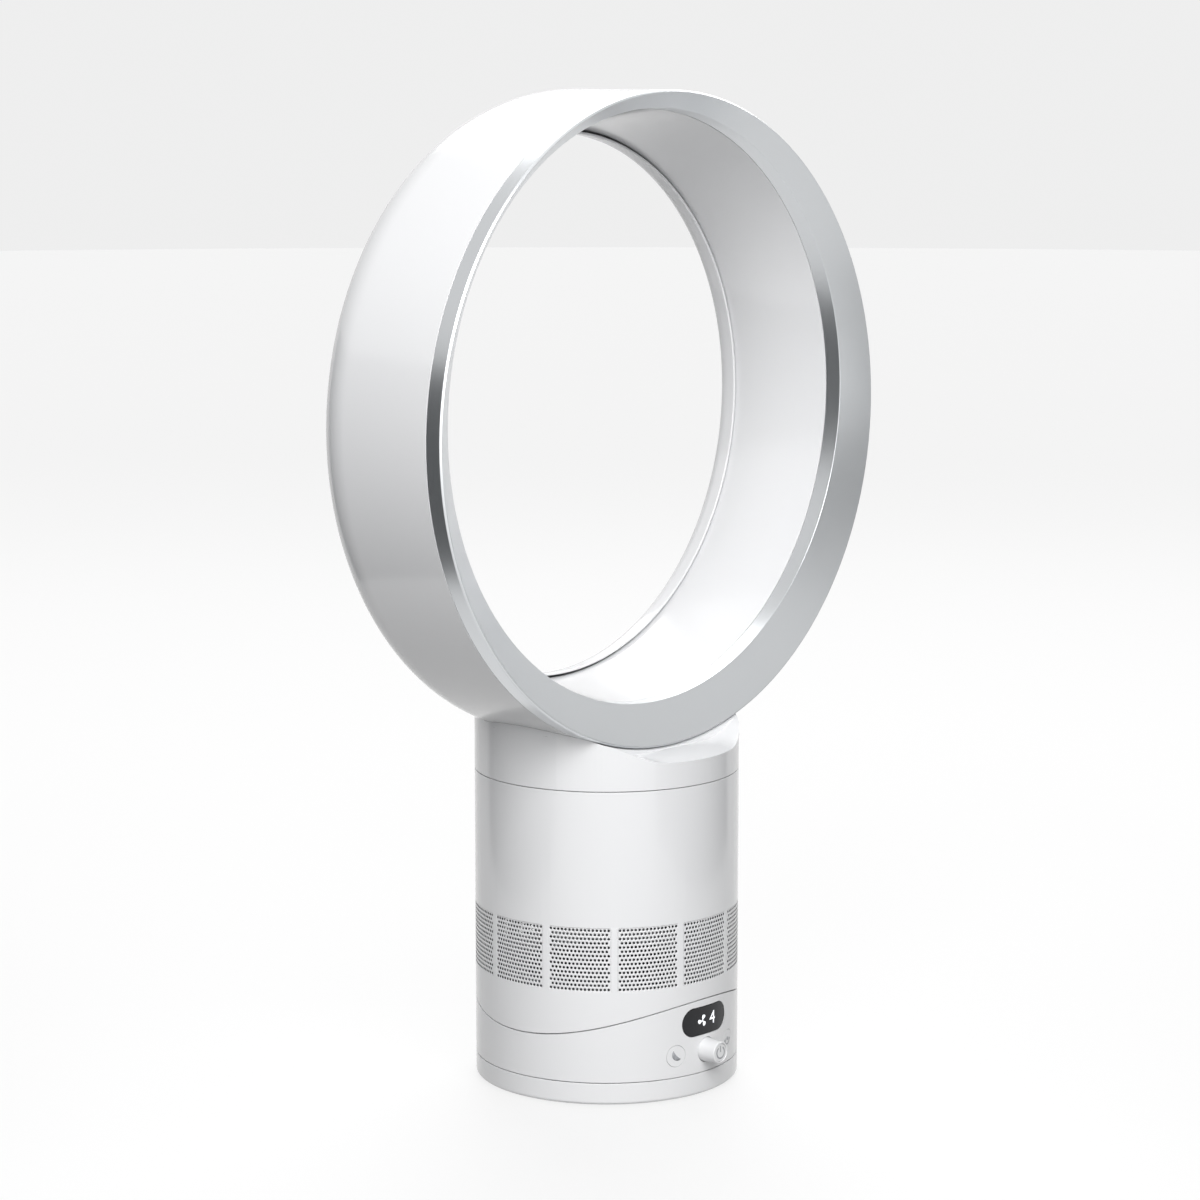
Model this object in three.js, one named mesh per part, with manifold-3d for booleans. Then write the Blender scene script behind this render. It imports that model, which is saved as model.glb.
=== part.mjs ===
// Bladeless ring desk fan: a round foot, a control base that swivels on it, a tower that tilts
// on a curved rail, and an air loop with a silver front rim.
// Millimetres, +Z up. The fan faces -Y, stands on Z = 0, and its swivel axis is X = Y = 0.
import * as THREE from "three";
import { mergeVertices } from "three/addons/utils/BufferGeometryUtils.js";
import Module from "manifold-3d";

const wasm = await Module();
wasm.setup();

// Shared sizes
const bodyRadius = 63.3; // foot, control base, tower and collar are one round column
const bodyWall = 2.6;
const seam = 0.5; // shadow line between two casings
const clearance = 0.3; // between pieces that touch
const boardThickness = 1.6;
const controlBoardWidth = 30;
const controlBoardHalf = 28;
const motorBoardHalfX = 28;
const motorBoardHalfY = 17;

// Foot and swivel
const footRimWidth = 13.3;
const footRimLift = 0.8;
const footEdgeRadius = 1.6;
const footTop = 11.1;
const matThickness = 2.2;
const footFloor = 2.2;
const bearingWidth = 5;
const bearingHeight = 3.5;
const postRadius = 8.5;
const postBore = 5.5;
const postFlangeRadius = 13;
const postFlangeHeight = 4;
const clipHeight = 1.5;
const clipRadius = 13.5;
const postScrewCircle = 10.8;
const screwRadius = 1.3;
const screwHeadRadius = 2.1;
const screwHeadHeight = 1.3;
const screwLength = 5;
const screwCount = 3;

// Oscillation gearing
const gearModule = 1;
const gearTeeth = 48;
const pinionTeeth = 12;
const gearHeight = 4.5;
const gearBacklash = 0.25;
const pressureAngle = THREE.MathUtils.degToRad(20);
const pinionShaftRadius = 2;
const oscillationMotorRadius = 10.5;
const oscillationMotorHeight = 7.5;

// Control base
const baseFloor = 2.4;
const controlRise = 7.9; // the dial and the two buttons, above the base floor
const buttonAngle = THREE.MathUtils.degToRad(17.2);
const buttonRadius = 5.1;
const buttonDepth = 5.9;
const buttonTravel = 0.8;
const buttonBoardHalf = 25;
const buttonBoardRise = 7; // above the middle of the buttons
const switchSize = 6;
const switchDepth = 3;
const dialRadius = 5.8;
const dialEndRadius = 5.2;
const dialProud = 9;
const dialStemRadius = 3;
const powerButtonRadius = 4.2;
const powerButtonLength = 4.1;
const powerButtonTravel = 1;
const dialLedge = 1.3;
const dialEdge = 0.5;
const encoderRadius = 6.5;
const encoderInset = 6.3;
const displayWidth = 30.8;
const displayHeight = 13.4;
const displayDialGap = 2;
const displaySeamGap = 3.7;
const displayThickness = 2.2;
const inletPlugWidth = 16;
const inletPlugHeight = 12;
const inletPlugDepth = 12;
const inletPlugRise = 4;
const inletPinWell = { width: 10, height: 6, depth: 9.5 };

// Tilt rail: an arc about a level axis across the fan
const tiltRadius = 147;
const tiltTravel = THREE.MathUtils.degToRad(10);
const cradleThickness = 2.3;
const shoeThickness = 2.3;
const hookX = 23;
const hookArm = 3;
const hookReach = 4.5;
const hookHalfLength = 8;
const hookThickness = 2;
const cableSlotHalf = 6;

// Tower
const collarSeamZ = 150.5;
const inletCount = 12;
const inletBar = 3.3;
const inletAboveSeam = 8.5;
const inletHeight = 30.5;
const grilleSleeve = 1.2;
const grilleLap = 3;
const foamRadius = 38;
const foamRise = 16.5; // above the lowest point of the tilt seam
const motorBoardRise = 7.5;
const foamThickness = 5;
const housingSpace = 8.9;
const housingWall = 1.8;
const impellerBottom = 95;
const impellerTop = 119.5;
const impellerInletRadius = 29.8;
const impellerTipGap = 1;
const impellerOutletInset = 3.6;
const impellerHubRadius = 11;
const impellerBlades = 9;
const bladeThickness = 1.4;
const bladeSweep = -0.9; // radians, backwards from hub to tip
const vaneSweep = 0.25;
const diffuserSpan = 14;
const diffuserVanes = 9;
const housingTop = 147;
const shaftRadius = 3;
const rotorRadius = 13;
const bearingRadius = 8;
const isolatorRadius = 3.5;
const isolatorCount = 3;
const collarRoof = 2.4;
const collarSpigot = 5;
const collarFrontEdgeZ = 162.5;
const collarFrontRimZ = 164.4;
const collarRearEdgeZ = 172.5;
const collarRearRimZ = 178.5;

// Air loop, about an axis along Y
const loopRadius = 153;
const loopBottom = 165.4;
const loopFront = -40.2;
const trimBand = 9; // silver band on the outside
const trimRecess = 9.4; // how far the face slopes back
const trimFace = 14.1; // how far the face reaches in
const trimLip = 8.4; // silver band on the inside
const trimWall = 1.6;
const loopWall = 2;
const rearRoundStart = 20;
const loopRear = 41.4;
const rearCrownInset = 14.5;
const lipInset = 24; // the lip behind the air slot, in from the loop's outside
const lipFront = 29;
const slotGap = 1.2;
const noseRear = 32.6;
const riseFront = 5.9; // the hole sits higher than the outside, so the loop is deeper below
const riseRear = 3.2;
const gasketWidth = 1.4;
const neckHalfX = 36;
const neckHalfY = 22;
const neckWall = 1.6;
const neckSealThickness = 1;
const neckDrop = 8;

// Worked out from the sizes above
const bodyInner = bodyRadius - bodyWall;
const footFloorBottom = matThickness + clearance;
const footFloorTop = footFloorBottom + footFloor;
const baseBottom = footTop + seam;
const baseFloorTop = baseBottom + baseFloor;
const controlZ = baseFloorTop + controlRise;
const displayZ = controlZ + dialRadius + displayDialGap + displayHeight / 2;
const tiltRimZ = displayZ + displayHeight / 2 + displaySeamGap;
const tiltAxisZ = tiltRimZ + Math.sqrt(tiltRadius ** 2 - bodyRadius ** 2);
const tiltSeamZ = tiltAxisZ - tiltRadius;
const inletPlugZ = baseFloorTop + inletPlugRise + inletPlugHeight / 2;
const inletBottom = tiltRimZ + inletAboveSeam;
const inletTop = inletBottom + inletHeight;
const cradleRadius = tiltRadius + seam / 2;
const shoeRadius = tiltRadius - seam / 2;
const casingTop = collarSeamZ - seam / 2;
const collarBottom = collarSeamZ + seam / 2;
const housingOuter = bodyInner - housingSpace;
const housingInner = housingOuter - housingWall;
const bucketRadius = housingInner - diffuserSpan;
const impellerOutletRadius = housingInner - impellerOutletInset;
const loopZ = loopBottom + loopRadius;
const lipRadius = loopRadius - lipInset;
const apertureRadius = loopRadius - trimFace;
const trimFaceBack = loopFront + trimRecess;
const trimBack = trimFaceBack + trimLip;

const bodySides = 36;
const loopSides = 40;
const ringSides = 22;
const smallSides = 16;

const glossWhite = { color: 0xf3f4f6, roughness: 0.15, metalness: 0 };
const satinSilver = { color: 0xb4babe, roughness: 0.3, metalness: 1 };
const glossBlack = { color: 0x0c0d0f, roughness: 0.06, metalness: 0 };
const greyPlastic = { color: 0x8d9196, roughness: 0.45, metalness: 0 };
const darkPlastic = { color: 0x2a2c30, roughness: 0.5, metalness: 0 };
const acetal = { color: 0xe8e4d8, roughness: 0.35, metalness: 0 };
const rubber = { color: 0x232427, roughness: 0.8, metalness: 0 };
const foam = { color: 0x3a3b3e, roughness: 0.95, metalness: 0 };
const steel = { color: 0x9ea3a8, roughness: 0.3, metalness: 1 };
const motorSteel = { color: 0x6f7378, roughness: 0.4, metalness: 1 };
const circuitBoard = { color: 0x1d5a38, roughness: 0.4, metalness: 0 };

// A ring or turned solid about Y, from [radius, height] points.
function turnedAboutY(profile, sides) {
  const points = profile.map(([radius, height]) => new THREE.Vector2(radius, height));
  const onAxis = points[0].x === 0 && points[points.length - 1].x === 0;
  if (THREE.ShapeUtils.area(points) < 0) points.reverse();
  if (!onAxis) points.push(points[0].clone());
  return new THREE.LatheGeometry(points, sides);
}

function turned(profile, sides = ringSides) {
  return turnedAboutY(profile, sides).rotateX(Math.PI / 2);
}

function tube(inner, outer, bottom, top, sides = ringSides) {
  return turned([[inner, bottom], [outer, bottom], [outer, top], [inner, top]], sides);
}

function rod(radius, bottom, top, sides = ringSides) {
  return turned([[0, bottom], [radius, bottom], [radius, top], [0, top]], sides);
}

function rodAlongY(radius, start, end, sides = smallSides) {
  return turnedAboutY([[0, start], [radius, start], [radius, end], [0, end]], sides);
}

function block([x0, x1], [y0, y1], [z0, z1]) {
  const box = new THREE.BoxGeometry(x1 - x0, y1 - y0, z1 - z0);
  return box.translate((x0 + x1) / 2, (y0 + y1) / 2, (z0 + z1) / 2);
}

function prism(outline, bottom, top, curveSegments = 6) {
  const depth = top - bottom;
  const upright = new THREE.ExtrudeGeometry(outline, { depth, bevelEnabled: false, curveSegments });
  return upright.translate(0, 0, bottom);
}

// A prism along X from [y, z] points.
function crossPrism(points, halfWidth) {
  const outline = new THREE.Shape(points.map(([y, z]) => new THREE.Vector2(y, z)));
  const bar = prism(outline, -halfWidth, halfWidth);
  return bar.applyMatrix4(new THREE.Matrix4().set(0, 0, 1, 0, 1, 0, 0, 0, 0, 1, 0, 0, 0, 0, 0, 1));
}

function solid(geometry) {
  const bare = geometry.clone();
  bare.deleteAttribute("normal");
  bare.deleteAttribute("uv");
  const merged = mergeVertices(bare, 1e-4);
  const vertProperties = merged.attributes.position.array;
  const triVerts = new Uint32Array(merged.index.array);
  return new wasm.Manifold(new wasm.Mesh({ numProp: 3, vertProperties, triVerts }));
}

function geometryOf(manifold) {
  const mesh = manifold.getMesh();
  const geometry = new THREE.BufferGeometry();
  geometry.setAttribute("position", new THREE.BufferAttribute(mesh.vertProperties, 3));
  geometry.setIndex(new THREE.BufferAttribute(mesh.triVerts, 1));
  return geometry;
}

function cut(base, ...tools) {
  return geometryOf(tools.reduce((left, tool) => left.subtract(solid(tool)), solid(base)));
}

function join(base, ...tools) {
  return geometryOf(tools.reduce((left, tool) => left.add(solid(tool)), solid(base)));
}

function common(base, tool) {
  return geometryOf(solid(base).intersect(solid(tool)));
}

function addPiece(group, name, finish, geometry) {
  const mesh = new THREE.Mesh(geometry, new THREE.MeshStandardMaterial(finish));
  mesh.name = name;
  group.add(mesh);
  return mesh;
}

const fan = new THREE.Group();
const foot = new THREE.Group();
const controlBase = new THREE.Group();
const tower = new THREE.Group();
const loop = new THREE.Group();
loop.position.z = loopZ;
fan.add(foot, controlBase, tower, loop);

// ---- Foot: a moulded cup with a rubber mat under it and the swivel post in the middle

const matRadius = bodyRadius - footRimWidth;
const shelfZ = baseBottom - clearance - bearingHeight - clearance;
const flangeBottom = footFloorTop + clearance;

addPiece(foot, "rubber_foot_mat", rubber, turned([
  [0, 0], [matRadius - 0.6, 0], [matRadius, 0.6], [matRadius, matThickness], [0, matThickness],
]));

function screwHole(x, y) {
  const headTop = footFloorBottom + screwHeadHeight + clearance;
  const tip = headTop + screwLength + clearance;
  return turned([
    [0, 0], [screwHeadRadius + clearance, 0], [screwHeadRadius + clearance, headTop],
    [screwRadius + clearance, headTop], [screwRadius + clearance, tip], [0, tip],
  ], smallSides).translate(x, y, 0);
}

const screwPlaces = Array.from({ length: screwCount }, (_, i) => {
  const angle = (i / screwCount) * 2 * Math.PI + Math.PI / 2;
  return [postScrewCircle * Math.cos(angle), postScrewCircle * Math.sin(angle)];
});
const screwHoles = screwPlaces.map(([x, y]) => screwHole(x, y));

function footOutline() {
  const corner = new THREE.Path();
  corner.absarc(bodyRadius - footEdgeRadius, footRimLift + footEdgeRadius, footEdgeRadius, -Math.PI / 2, 0);
  const rounded = corner.getPoints(3).map(({ x, y }) => [x, y]);
  const shelfRadius = bodyInner - bearingWidth - 2 * clearance;
  return [
    [0, footFloorBottom], [matRadius + clearance, footFloorBottom], [matRadius + clearance, footRimLift],
    ...rounded,
    [bodyRadius, footTop], [bodyInner, footTop], [bodyInner, shelfZ], [shelfRadius, shelfZ],
    [shelfRadius, footFloorTop], [0, footFloorTop],
  ];
}
addPiece(foot, "foot_plate", glossWhite, cut(turned(footOutline(), bodySides), ...screwHoles));

const postTop = baseFloorTop + clearance + clipHeight + 1.5;
addPiece(foot, "swivel_post", acetal, cut(turned([
  [postBore, flangeBottom], [postFlangeRadius, flangeBottom],
  [postFlangeRadius, flangeBottom + postFlangeHeight], [postRadius, flangeBottom + postFlangeHeight],
  [postRadius, postTop], [postBore, postTop],
]), ...screwHoles));

screwPlaces.forEach(([x, y], i) => {
  const headTop = footFloorBottom + screwHeadHeight;
  const screw = addPiece(foot, `post_screw_${i + 1}`, steel, turned([
    [0, footFloorBottom], [screwHeadRadius, footFloorBottom], [screwHeadRadius, headTop],
    [screwRadius, headTop], [screwRadius, headTop + screwLength], [0, headTop + screwLength],
  ], smallSides));
  screw.position.set(x, y, 0);
});

const bearingTop = baseBottom - clearance;
addPiece(foot, "swivel_bearing_ring", acetal, tube(
  bodyInner - clearance - bearingWidth, bodyInner - clearance, bearingTop - bearingHeight, bearingTop,
));

const clipBottom = baseFloorTop + clearance;
addPiece(foot, "swivel_clip", steel,
  tube(postRadius + clearance, clipRadius, clipBottom, clipBottom + clipHeight));

// ---- Oscillation gearing: a fixed gear on the foot, and a pinion that the control base carries

function gearOutline(teeth, addendum, dedendum) {
  const pitchRadius = (teeth * gearModule) / 2;
  const baseRadius = pitchRadius * Math.cos(pressureAngle);
  const involute = (angle) => Math.tan(angle) - angle;
  const halfTooth = (Math.PI * gearModule / 2 - gearBacklash) / (2 * pitchRadius);
  const halfAngleAt = (radius) => {
    const pressure = Math.acos(Math.min(1, baseRadius / radius));
    return halfTooth + involute(pressureAngle) - involute(pressure);
  };
  const radii = [pitchRadius - dedendum, pitchRadius + addendum];
  const tooth = (_, index) => {
    const middle = (index / teeth) * 2 * Math.PI;
    const rising = radii.map((radius) => [radius, middle - halfAngleAt(radius)]);
    const falling = radii.map((radius) => [radius, middle + halfAngleAt(radius)]).reverse();
    return [...rising, ...falling];
  };
  return new THREE.Shape(Array.from({ length: teeth }, tooth).flat().map(
    ([radius, angle]) => new THREE.Vector2(radius * Math.cos(angle), radius * Math.sin(angle)),
  ));
}

const gearBottom = flangeBottom;
const pinionY = ((gearTeeth + pinionTeeth) * gearModule) / 2;
const fixedGear = gearOutline(gearTeeth, 0.75 * gearModule, 1.1 * gearModule);
fixedGear.holes.push(new THREE.Path().absarc(0, 0, postFlangeRadius + clearance, 0, 2 * Math.PI));
addPiece(foot, "swivel_gear", acetal, prism(fixedGear, gearBottom, gearBottom + gearHeight, ringSides));

const pinionBody = new THREE.Group();
pinionBody.position.set(0, pinionY, 0);
fan.add(pinionBody);
const pinionShaftTop = clipBottom + clipHeight;
const pinion = addPiece(pinionBody, "oscillation_pinion", acetal, join(
  prism(gearOutline(pinionTeeth, 0.9 * gearModule, 1.15 * gearModule), gearBottom, gearBottom + gearHeight),
  rod(pinionShaftRadius, gearBottom + gearHeight - 1, pinionShaftTop, smallSides),
));
pinion.rotation.z = Math.PI / pinionTeeth;

const oscillationMotor = addPiece(controlBase, "oscillation_motor", motorSteel, join(
  rod(oscillationMotorRadius, 0, oscillationMotorHeight),
  block([-15, 15], [-3.5, 3.5], [0, 1.5]),
));
oscillationMotor.position.set(0, pinionY, pinionShaftTop + clearance);

// ---- Control base: casing with the curved top edge, display, dial, buttons and boards

// A round bar across the fan, on the tilt axis.
function tiltBar(radius) {
  const half = bodyRadius + 10;
  return rodAlongY(radius, -half, half, 2 * bodySides).rotateZ(Math.PI / 2).translate(0, 0, tiltAxisZ);
}

function tiltShell(inner, outer) {
  return cut(tiltBar(outer), tiltBar(inner));
}

// Height of an arc about the tilt axis, under the axis, at a distance y from the middle.
function tiltArcZ(radius, y) {
  return tiltAxisZ - Math.sqrt(radius ** 2 - y ** 2);
}

function radialHole(radius, angle) {
  return rodAlongY(radius, -bodyRadius - 10, -bodyInner + 4, 24).rotateZ(angle).translate(0, 0, controlZ);
}

// An upright oval bar along Y, for the display and its hole.
function displayBar(grow) {
  const end = displayHeight / 2 + grow;
  const straight = (displayWidth - displayHeight) / 2;
  const oval = new THREE.Shape();
  oval.absarc(straight, 0, end, -Math.PI / 2, Math.PI / 2);
  oval.absarc(-straight, 0, end, Math.PI / 2, 1.5 * Math.PI);
  const bar = prism(oval, 0, 2 * bodyWall + 10, 8);
  return bar.rotateX(Math.PI / 2).translate(0, -bodyInner + bodyWall + 4, displayZ);
}

const roughTop = tiltAxisZ - tiltRadius / 2;
const plugX = inletPlugWidth / 2;
const plugZ = [inletPlugZ - inletPlugHeight / 2, inletPlugZ + inletPlugHeight / 2];
const plugBack = bodyRadius - inletPlugDepth;
const postHole = postRadius + clearance;

addPiece(controlBase, "base_casing", glossWhite, cut(
  turned([
    [postHole, baseBottom], [bodyRadius, baseBottom], [bodyRadius, roughTop],
    [bodyInner, roughTop], [bodyInner, baseFloorTop], [postHole, baseFloorTop],
  ], bodySides),
  tiltBar(cradleRadius),
  displayBar(clearance),
  radialHole(dialRadius + clearance, 0),
  radialHole(buttonRadius + clearance, -buttonAngle),
  radialHole(buttonRadius + clearance, buttonAngle),
  block([-plugX - clearance, plugX + clearance], [bodyInner - 6, bodyRadius + 5],
    [plugZ[0] - clearance, plugZ[1] + clearance]),
  rod(pinionShaftRadius + clearance, baseBottom - 1, baseFloorTop + 1, smallSides).translate(0, pinionY, 0),
));

function roundedByWall(geometry) {
  return common(geometry, rod(bodyInner - clearance, 0, collarBottom, bodySides));
}

const hookSwing = (tiltRadius + 5) * Math.sin(tiltTravel);
const slotHalfY = hookHalfLength + hookSwing + 1;
function hookSlot(side) {
  const near = hookX - hookArm / 2 - 2 * clearance;
  const far = hookX + hookArm / 2 + 2 * clearance;
  return block(side > 0 ? [near, far] : [-far, -near], [-slotHalfY, slotHalfY], [0, tiltAxisZ]);
}
const cableSlot = block([-cableSlotHalf, cableSlotHalf], [-slotHalfY, slotHalfY], [0, tiltAxisZ]);
addPiece(controlBase, "tilt_cradle", greyPlastic, roundedByWall(
  cut(tiltShell(cradleRadius, cradleRadius + cradleThickness), hookSlot(1), hookSlot(-1), cableSlot),
));

addPiece(controlBase, "display_window", glossBlack,
  common(tube(bodyRadius - displayThickness, bodyRadius, 0, roughTop, bodySides), displayBar(0)));

const displayBoardY = -bodyInner + 3;
const displayBoardBack = displayBoardY + boardThickness;
const displayBoardTop = tiltArcZ(cradleRadius + cradleThickness, displayBoardBack) - 2 * clearance;
addPiece(controlBase, "display_board", circuitBoard, roundedByWall(block(
  [-displayWidth / 2 + 2, displayWidth / 2 - 2], [displayBoardY, displayBoardBack],
  [displayZ - displayHeight / 2 + 1, displayBoardTop],
)));

const buttonBack = bodyRadius - buttonDepth;
const switchFront = buttonBack - buttonTravel - clearance;
const switchBack = switchFront - switchDepth;
const switchInnerCorner = switchBack * Math.cos(buttonAngle) - (switchSize / 2) * Math.sin(buttonAngle);
const buttonBoardY = clearance - switchInnerCorner;
addPiece(controlBase, "button_board", circuitBoard, roundedByWall(block(
  [-buttonBoardHalf, buttonBoardHalf], [buttonBoardY, buttonBoardY + boardThickness],
  [baseFloorTop + clearance, controlZ + buttonBoardRise],
)));

const encoderFront = -(bodyRadius - encoderInset);
addPiece(controlBase, "dial_encoder", darkPlastic,
  rodAlongY(encoderRadius, encoderFront, buttonBoardY - clearance, 24)).position.z = controlZ;

for (const [name, angle] of [["timer", -buttonAngle], ["oscillation", buttonAngle]]) {
  const half = switchSize / 2;
  const sensor = addPiece(controlBase, `${name}_switch`, darkPlastic,
    block([-half, half], [-switchFront, -switchBack], [-half, half]));
  sensor.rotation.z = angle;
  sensor.position.z = controlZ;
  const bar = rodAlongY(buttonRadius, -bodyRadius - 5, -buttonBack, 24);
  const cap = bar.rotateZ(angle).translate(0, 0, controlZ);
  addPiece(fan, `${name}_button`, glossWhite, common(cap, rod(bodyRadius, 0, roughTop, bodySides)));
}

const dialEnd = -(bodyRadius + dialProud);
const dialRoot = encoderFront - clearance;
const boreEnd = dialEnd + clearance + powerButtonLength + powerButtonTravel + clearance;
addPiece(fan, "airflow_dial", glossWhite, turnedAboutY([
  [0, dialRoot], [dialStemRadius, dialRoot],
  [dialStemRadius, dialRoot - dialLedge], [dialRadius, dialRoot - dialLedge],
  [dialRadius, -bodyRadius], [dialEndRadius, dialEnd + dialEdge], [dialEndRadius - dialEdge / 2, dialEnd],
  [powerButtonRadius + clearance, dialEnd], [powerButtonRadius + clearance, boreEnd], [0, boreEnd],
], 32)).position.z = controlZ;
const capFront = dialEnd + clearance;
addPiece(fan, "power_button", glossWhite, rodAlongY(
  powerButtonRadius, capFront, capFront + powerButtonLength, 32,
)).position.z = controlZ;

const boardZ = baseFloorTop + 3;
addPiece(controlBase, "control_board", circuitBoard, roundedByWall(block(
  [clipRadius + 4, clipRadius + 4 + controlBoardWidth], [-controlBoardHalf, controlBoardHalf],
  [boardZ, boardZ + boardThickness],
)));

const well = inletPinWell;
addPiece(controlBase, "power_inlet", darkPlastic, cut(
  common(block([-plugX, plugX], [plugBack, bodyRadius + 5], plugZ), rod(bodyRadius, 0, roughTop, bodySides)),
  block([-well.width / 2, well.width / 2], [bodyRadius - well.depth, bodyRadius + 10],
    [inletPlugZ - well.height / 2, inletPlugZ + well.height / 2]),
));

// ---- Tilt shoe: the tower's curved floor, with two hooks that hold it down on the cradle

function hook(side) {
  const near = hookX - hookArm / 2;
  const underside = cradleRadius + cradleThickness + clearance;
  const span = [-hookHalfLength, hookHalfLength];
  const mirrored = ([a, b]) => (side > 0 ? [a, b] : [-b, -a]);
  const arm = common(
    tiltShell(shoeRadius - 1, underside + hookThickness),
    block(mirrored([near, near + hookArm]), span, [0, tiltAxisZ]),
  );
  const toe = common(
    tiltShell(underside, underside + hookThickness),
    block(mirrored([near, near + hookArm + hookReach]), span, [0, tiltAxisZ]),
  );
  return join(arm, toe);
}
addPiece(tower, "tilt_shoe", greyPlastic, join(
  cut(
    roundedByWall(tiltShell(shoeRadius - shoeThickness, shoeRadius)),
    block([-cableSlotHalf, cableSlotHalf], [-cableSlotHalf, cableSlotHalf], [0, tiltAxisZ]),
  ),
  hook(1),
  hook(-1),
));

// ---- Tower casing and the perforated inlet panels

function sector(inner, outer, middle, halfAngle, bottom, top) {
  const outline = new THREE.Shape();
  outline.absarc(0, 0, outer, middle - halfAngle, middle + halfAngle);
  outline.absarc(0, 0, inner, middle + halfAngle, middle - halfAngle, true);
  return prism(outline, bottom, top, 5);
}

const inletPitch = (2 * Math.PI) / inletCount;
const inletHalfAngle = inletPitch / 2 - inletBar / 2 / bodyRadius;
const inletMiddles = Array.from({ length: inletCount }, (_, i) => i * inletPitch - Math.PI / 2);

addPiece(tower, "main_casing", glossWhite, cut(
  common(tube(bodyInner, bodyRadius, 0, casingTop, bodySides), tiltBar(shoeRadius)),
  ...inletMiddles.map((middle) => sector(
    bodyInner - 2, bodyRadius + 2, middle, inletHalfAngle, inletBottom, inletTop,
  )),
));

const sleeveOuter = bodyInner - clearance;
const panelHalfAngle = inletHalfAngle - clearance / bodyInner;
addPiece(tower, "inlet_grille", glossWhite, join(
  tube(sleeveOuter - grilleSleeve, sleeveOuter, inletBottom - grilleLap, inletTop + grilleLap, bodySides),
  ...inletMiddles.map((middle) => sector(
    sleeveOuter - grilleSleeve / 2, bodyRadius - 0.1, middle, panelHalfAngle,
    inletBottom + clearance, inletTop - clearance,
  )),
));

const towerBoardZ = tiltSeamZ + motorBoardRise;
const foamBottom = tiltSeamZ + foamRise;
addPiece(tower, "motor_board", circuitBoard, block(
  [-motorBoardHalfX, motorBoardHalfX], [-motorBoardHalfY, motorBoardHalfY],
  [towerBoardZ, towerBoardZ + boardThickness],
));
addPiece(tower, "silencing_foam", foam, rod(foamRadius, foamBottom, foamBottom + foamThickness));

// ---- Air mover: bell mouth, housing, impeller, diffuser and the motor in its bucket

const housingBottom = impellerBottom - 1;
const coneTop = impellerTop + 2.5;
const coneFoot = impellerInletRadius + impellerTipGap;
addPiece(tower, "impeller_housing", greyPlastic, turned([
  [coneFoot, housingBottom], [coneFoot + housingWall, housingBottom],
  [impellerOutletRadius + impellerTipGap + housingWall, impellerTop], [housingOuter, coneTop],
  [housingOuter, housingTop], [housingInner, housingTop], [housingInner, coneTop],
  [impellerOutletRadius + impellerTipGap, impellerTop],
]));

const bellTop = housingBottom - clearance;
addPiece(tower, "inlet_bell", greyPlastic, turned([
  [coneFoot, bellTop], [coneFoot + 0.6, bellTop - 3], [coneFoot + 3, bellTop - 5.5],
  [coneFoot + 9, bellTop - 6.5], [coneFoot + 9, bellTop - 5], [coneFoot + 4, bellTop - 4],
  [coneFoot + 2.4, bellTop - 2], [coneFoot + 2, bellTop],
]));

addPiece(tower, "housing_seal", rubber,
  tube(housingOuter + clearance, bodyInner - clearance, coneTop + 2, coneTop + 5));

for (let i = 0; i < isolatorCount; i++) {
  const bush = addPiece(tower, `isolator_mount_${i + 1}`, rubber,
    rodAlongY(isolatorRadius, housingOuter + 2 * clearance, bodyInner - 2 * clearance));
  bush.rotation.z = (i / isolatorCount) * 2 * Math.PI;
  bush.position.z = housingTop - 9;
}

// A curved upright plate from an inner to an outer radius, swept back as it goes out.
function curvedVane(inner, outer, thickness, sweep, steps, bottom, top) {
  const rail = (side) => Array.from({ length: steps + 1 }, (_, i) => {
    const share = i / steps;
    const radius = inner + (outer - inner) * share;
    const angle = sweep * share * share;
    const across = (side * thickness) / 2;
    return new THREE.Vector2(
      radius * Math.cos(angle) - across * Math.sin(angle),
      radius * Math.sin(angle) + across * Math.cos(angle),
    );
  });
  return prism(new THREE.Shape([...rail(-1), ...rail(1).reverse()]), bottom, top);
}

const hubOutlet = bucketRadius;
const impellerHub = turned([
  [shaftRadius + clearance, impellerBottom], [impellerHubRadius, impellerBottom],
  [impellerHubRadius + 4, impellerBottom + 10], [hubOutlet, impellerTop - 1.5],
  [hubOutlet, impellerTop], [shaftRadius + clearance, impellerTop],
]);
const bladeSpace = turned([
  [impellerHubRadius - 2, impellerBottom], [impellerInletRadius, impellerBottom],
  [impellerOutletRadius, impellerTop - 0.5], [impellerHubRadius - 2, impellerTop - 0.5],
]);
const blades = Array.from({ length: impellerBlades }, (_, i) => common(
  curvedVane(
    impellerHubRadius - 2, impellerOutletRadius + 1, bladeThickness, bladeSweep, 4, impellerBottom, impellerTop,
  ).rotateZ((i / impellerBlades) * 2 * Math.PI),
  bladeSpace,
));
addPiece(fan, "impeller", greyPlastic, join(impellerHub, ...blades));

const bucketWall = 1.8;
const bucketBottom = impellerTop + 0.7;
const bucketSplit = bucketBottom + 13;
const bucketInner = bucketRadius - bucketWall;
addPiece(tower, "motor_bucket_lower", greyPlastic, turned([
  [shaftRadius + 2, bucketBottom], [bucketRadius, bucketBottom], [bucketRadius, bucketSplit],
  [bucketInner, bucketSplit], [bucketInner, bucketBottom + bucketWall],
  [shaftRadius + 2, bucketBottom + bucketWall],
]));
const capBottom = bucketSplit + clearance;
const capTop = housingTop + 2;
addPiece(tower, "motor_bucket_cap", greyPlastic, turned([
  [0, capTop], [bucketRadius * 0.55, capTop - 1], [bucketRadius * 0.86, capTop - 6],
  [bucketRadius, capTop - 13], [bucketRadius, capBottom], [bucketInner, capBottom],
  [bucketInner, capTop - 13.4], [bucketInner * 0.86, capTop - 7.4], [bucketInner * 0.55, capTop - 2.8],
  [0, capTop - 1.8],
]));

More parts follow.
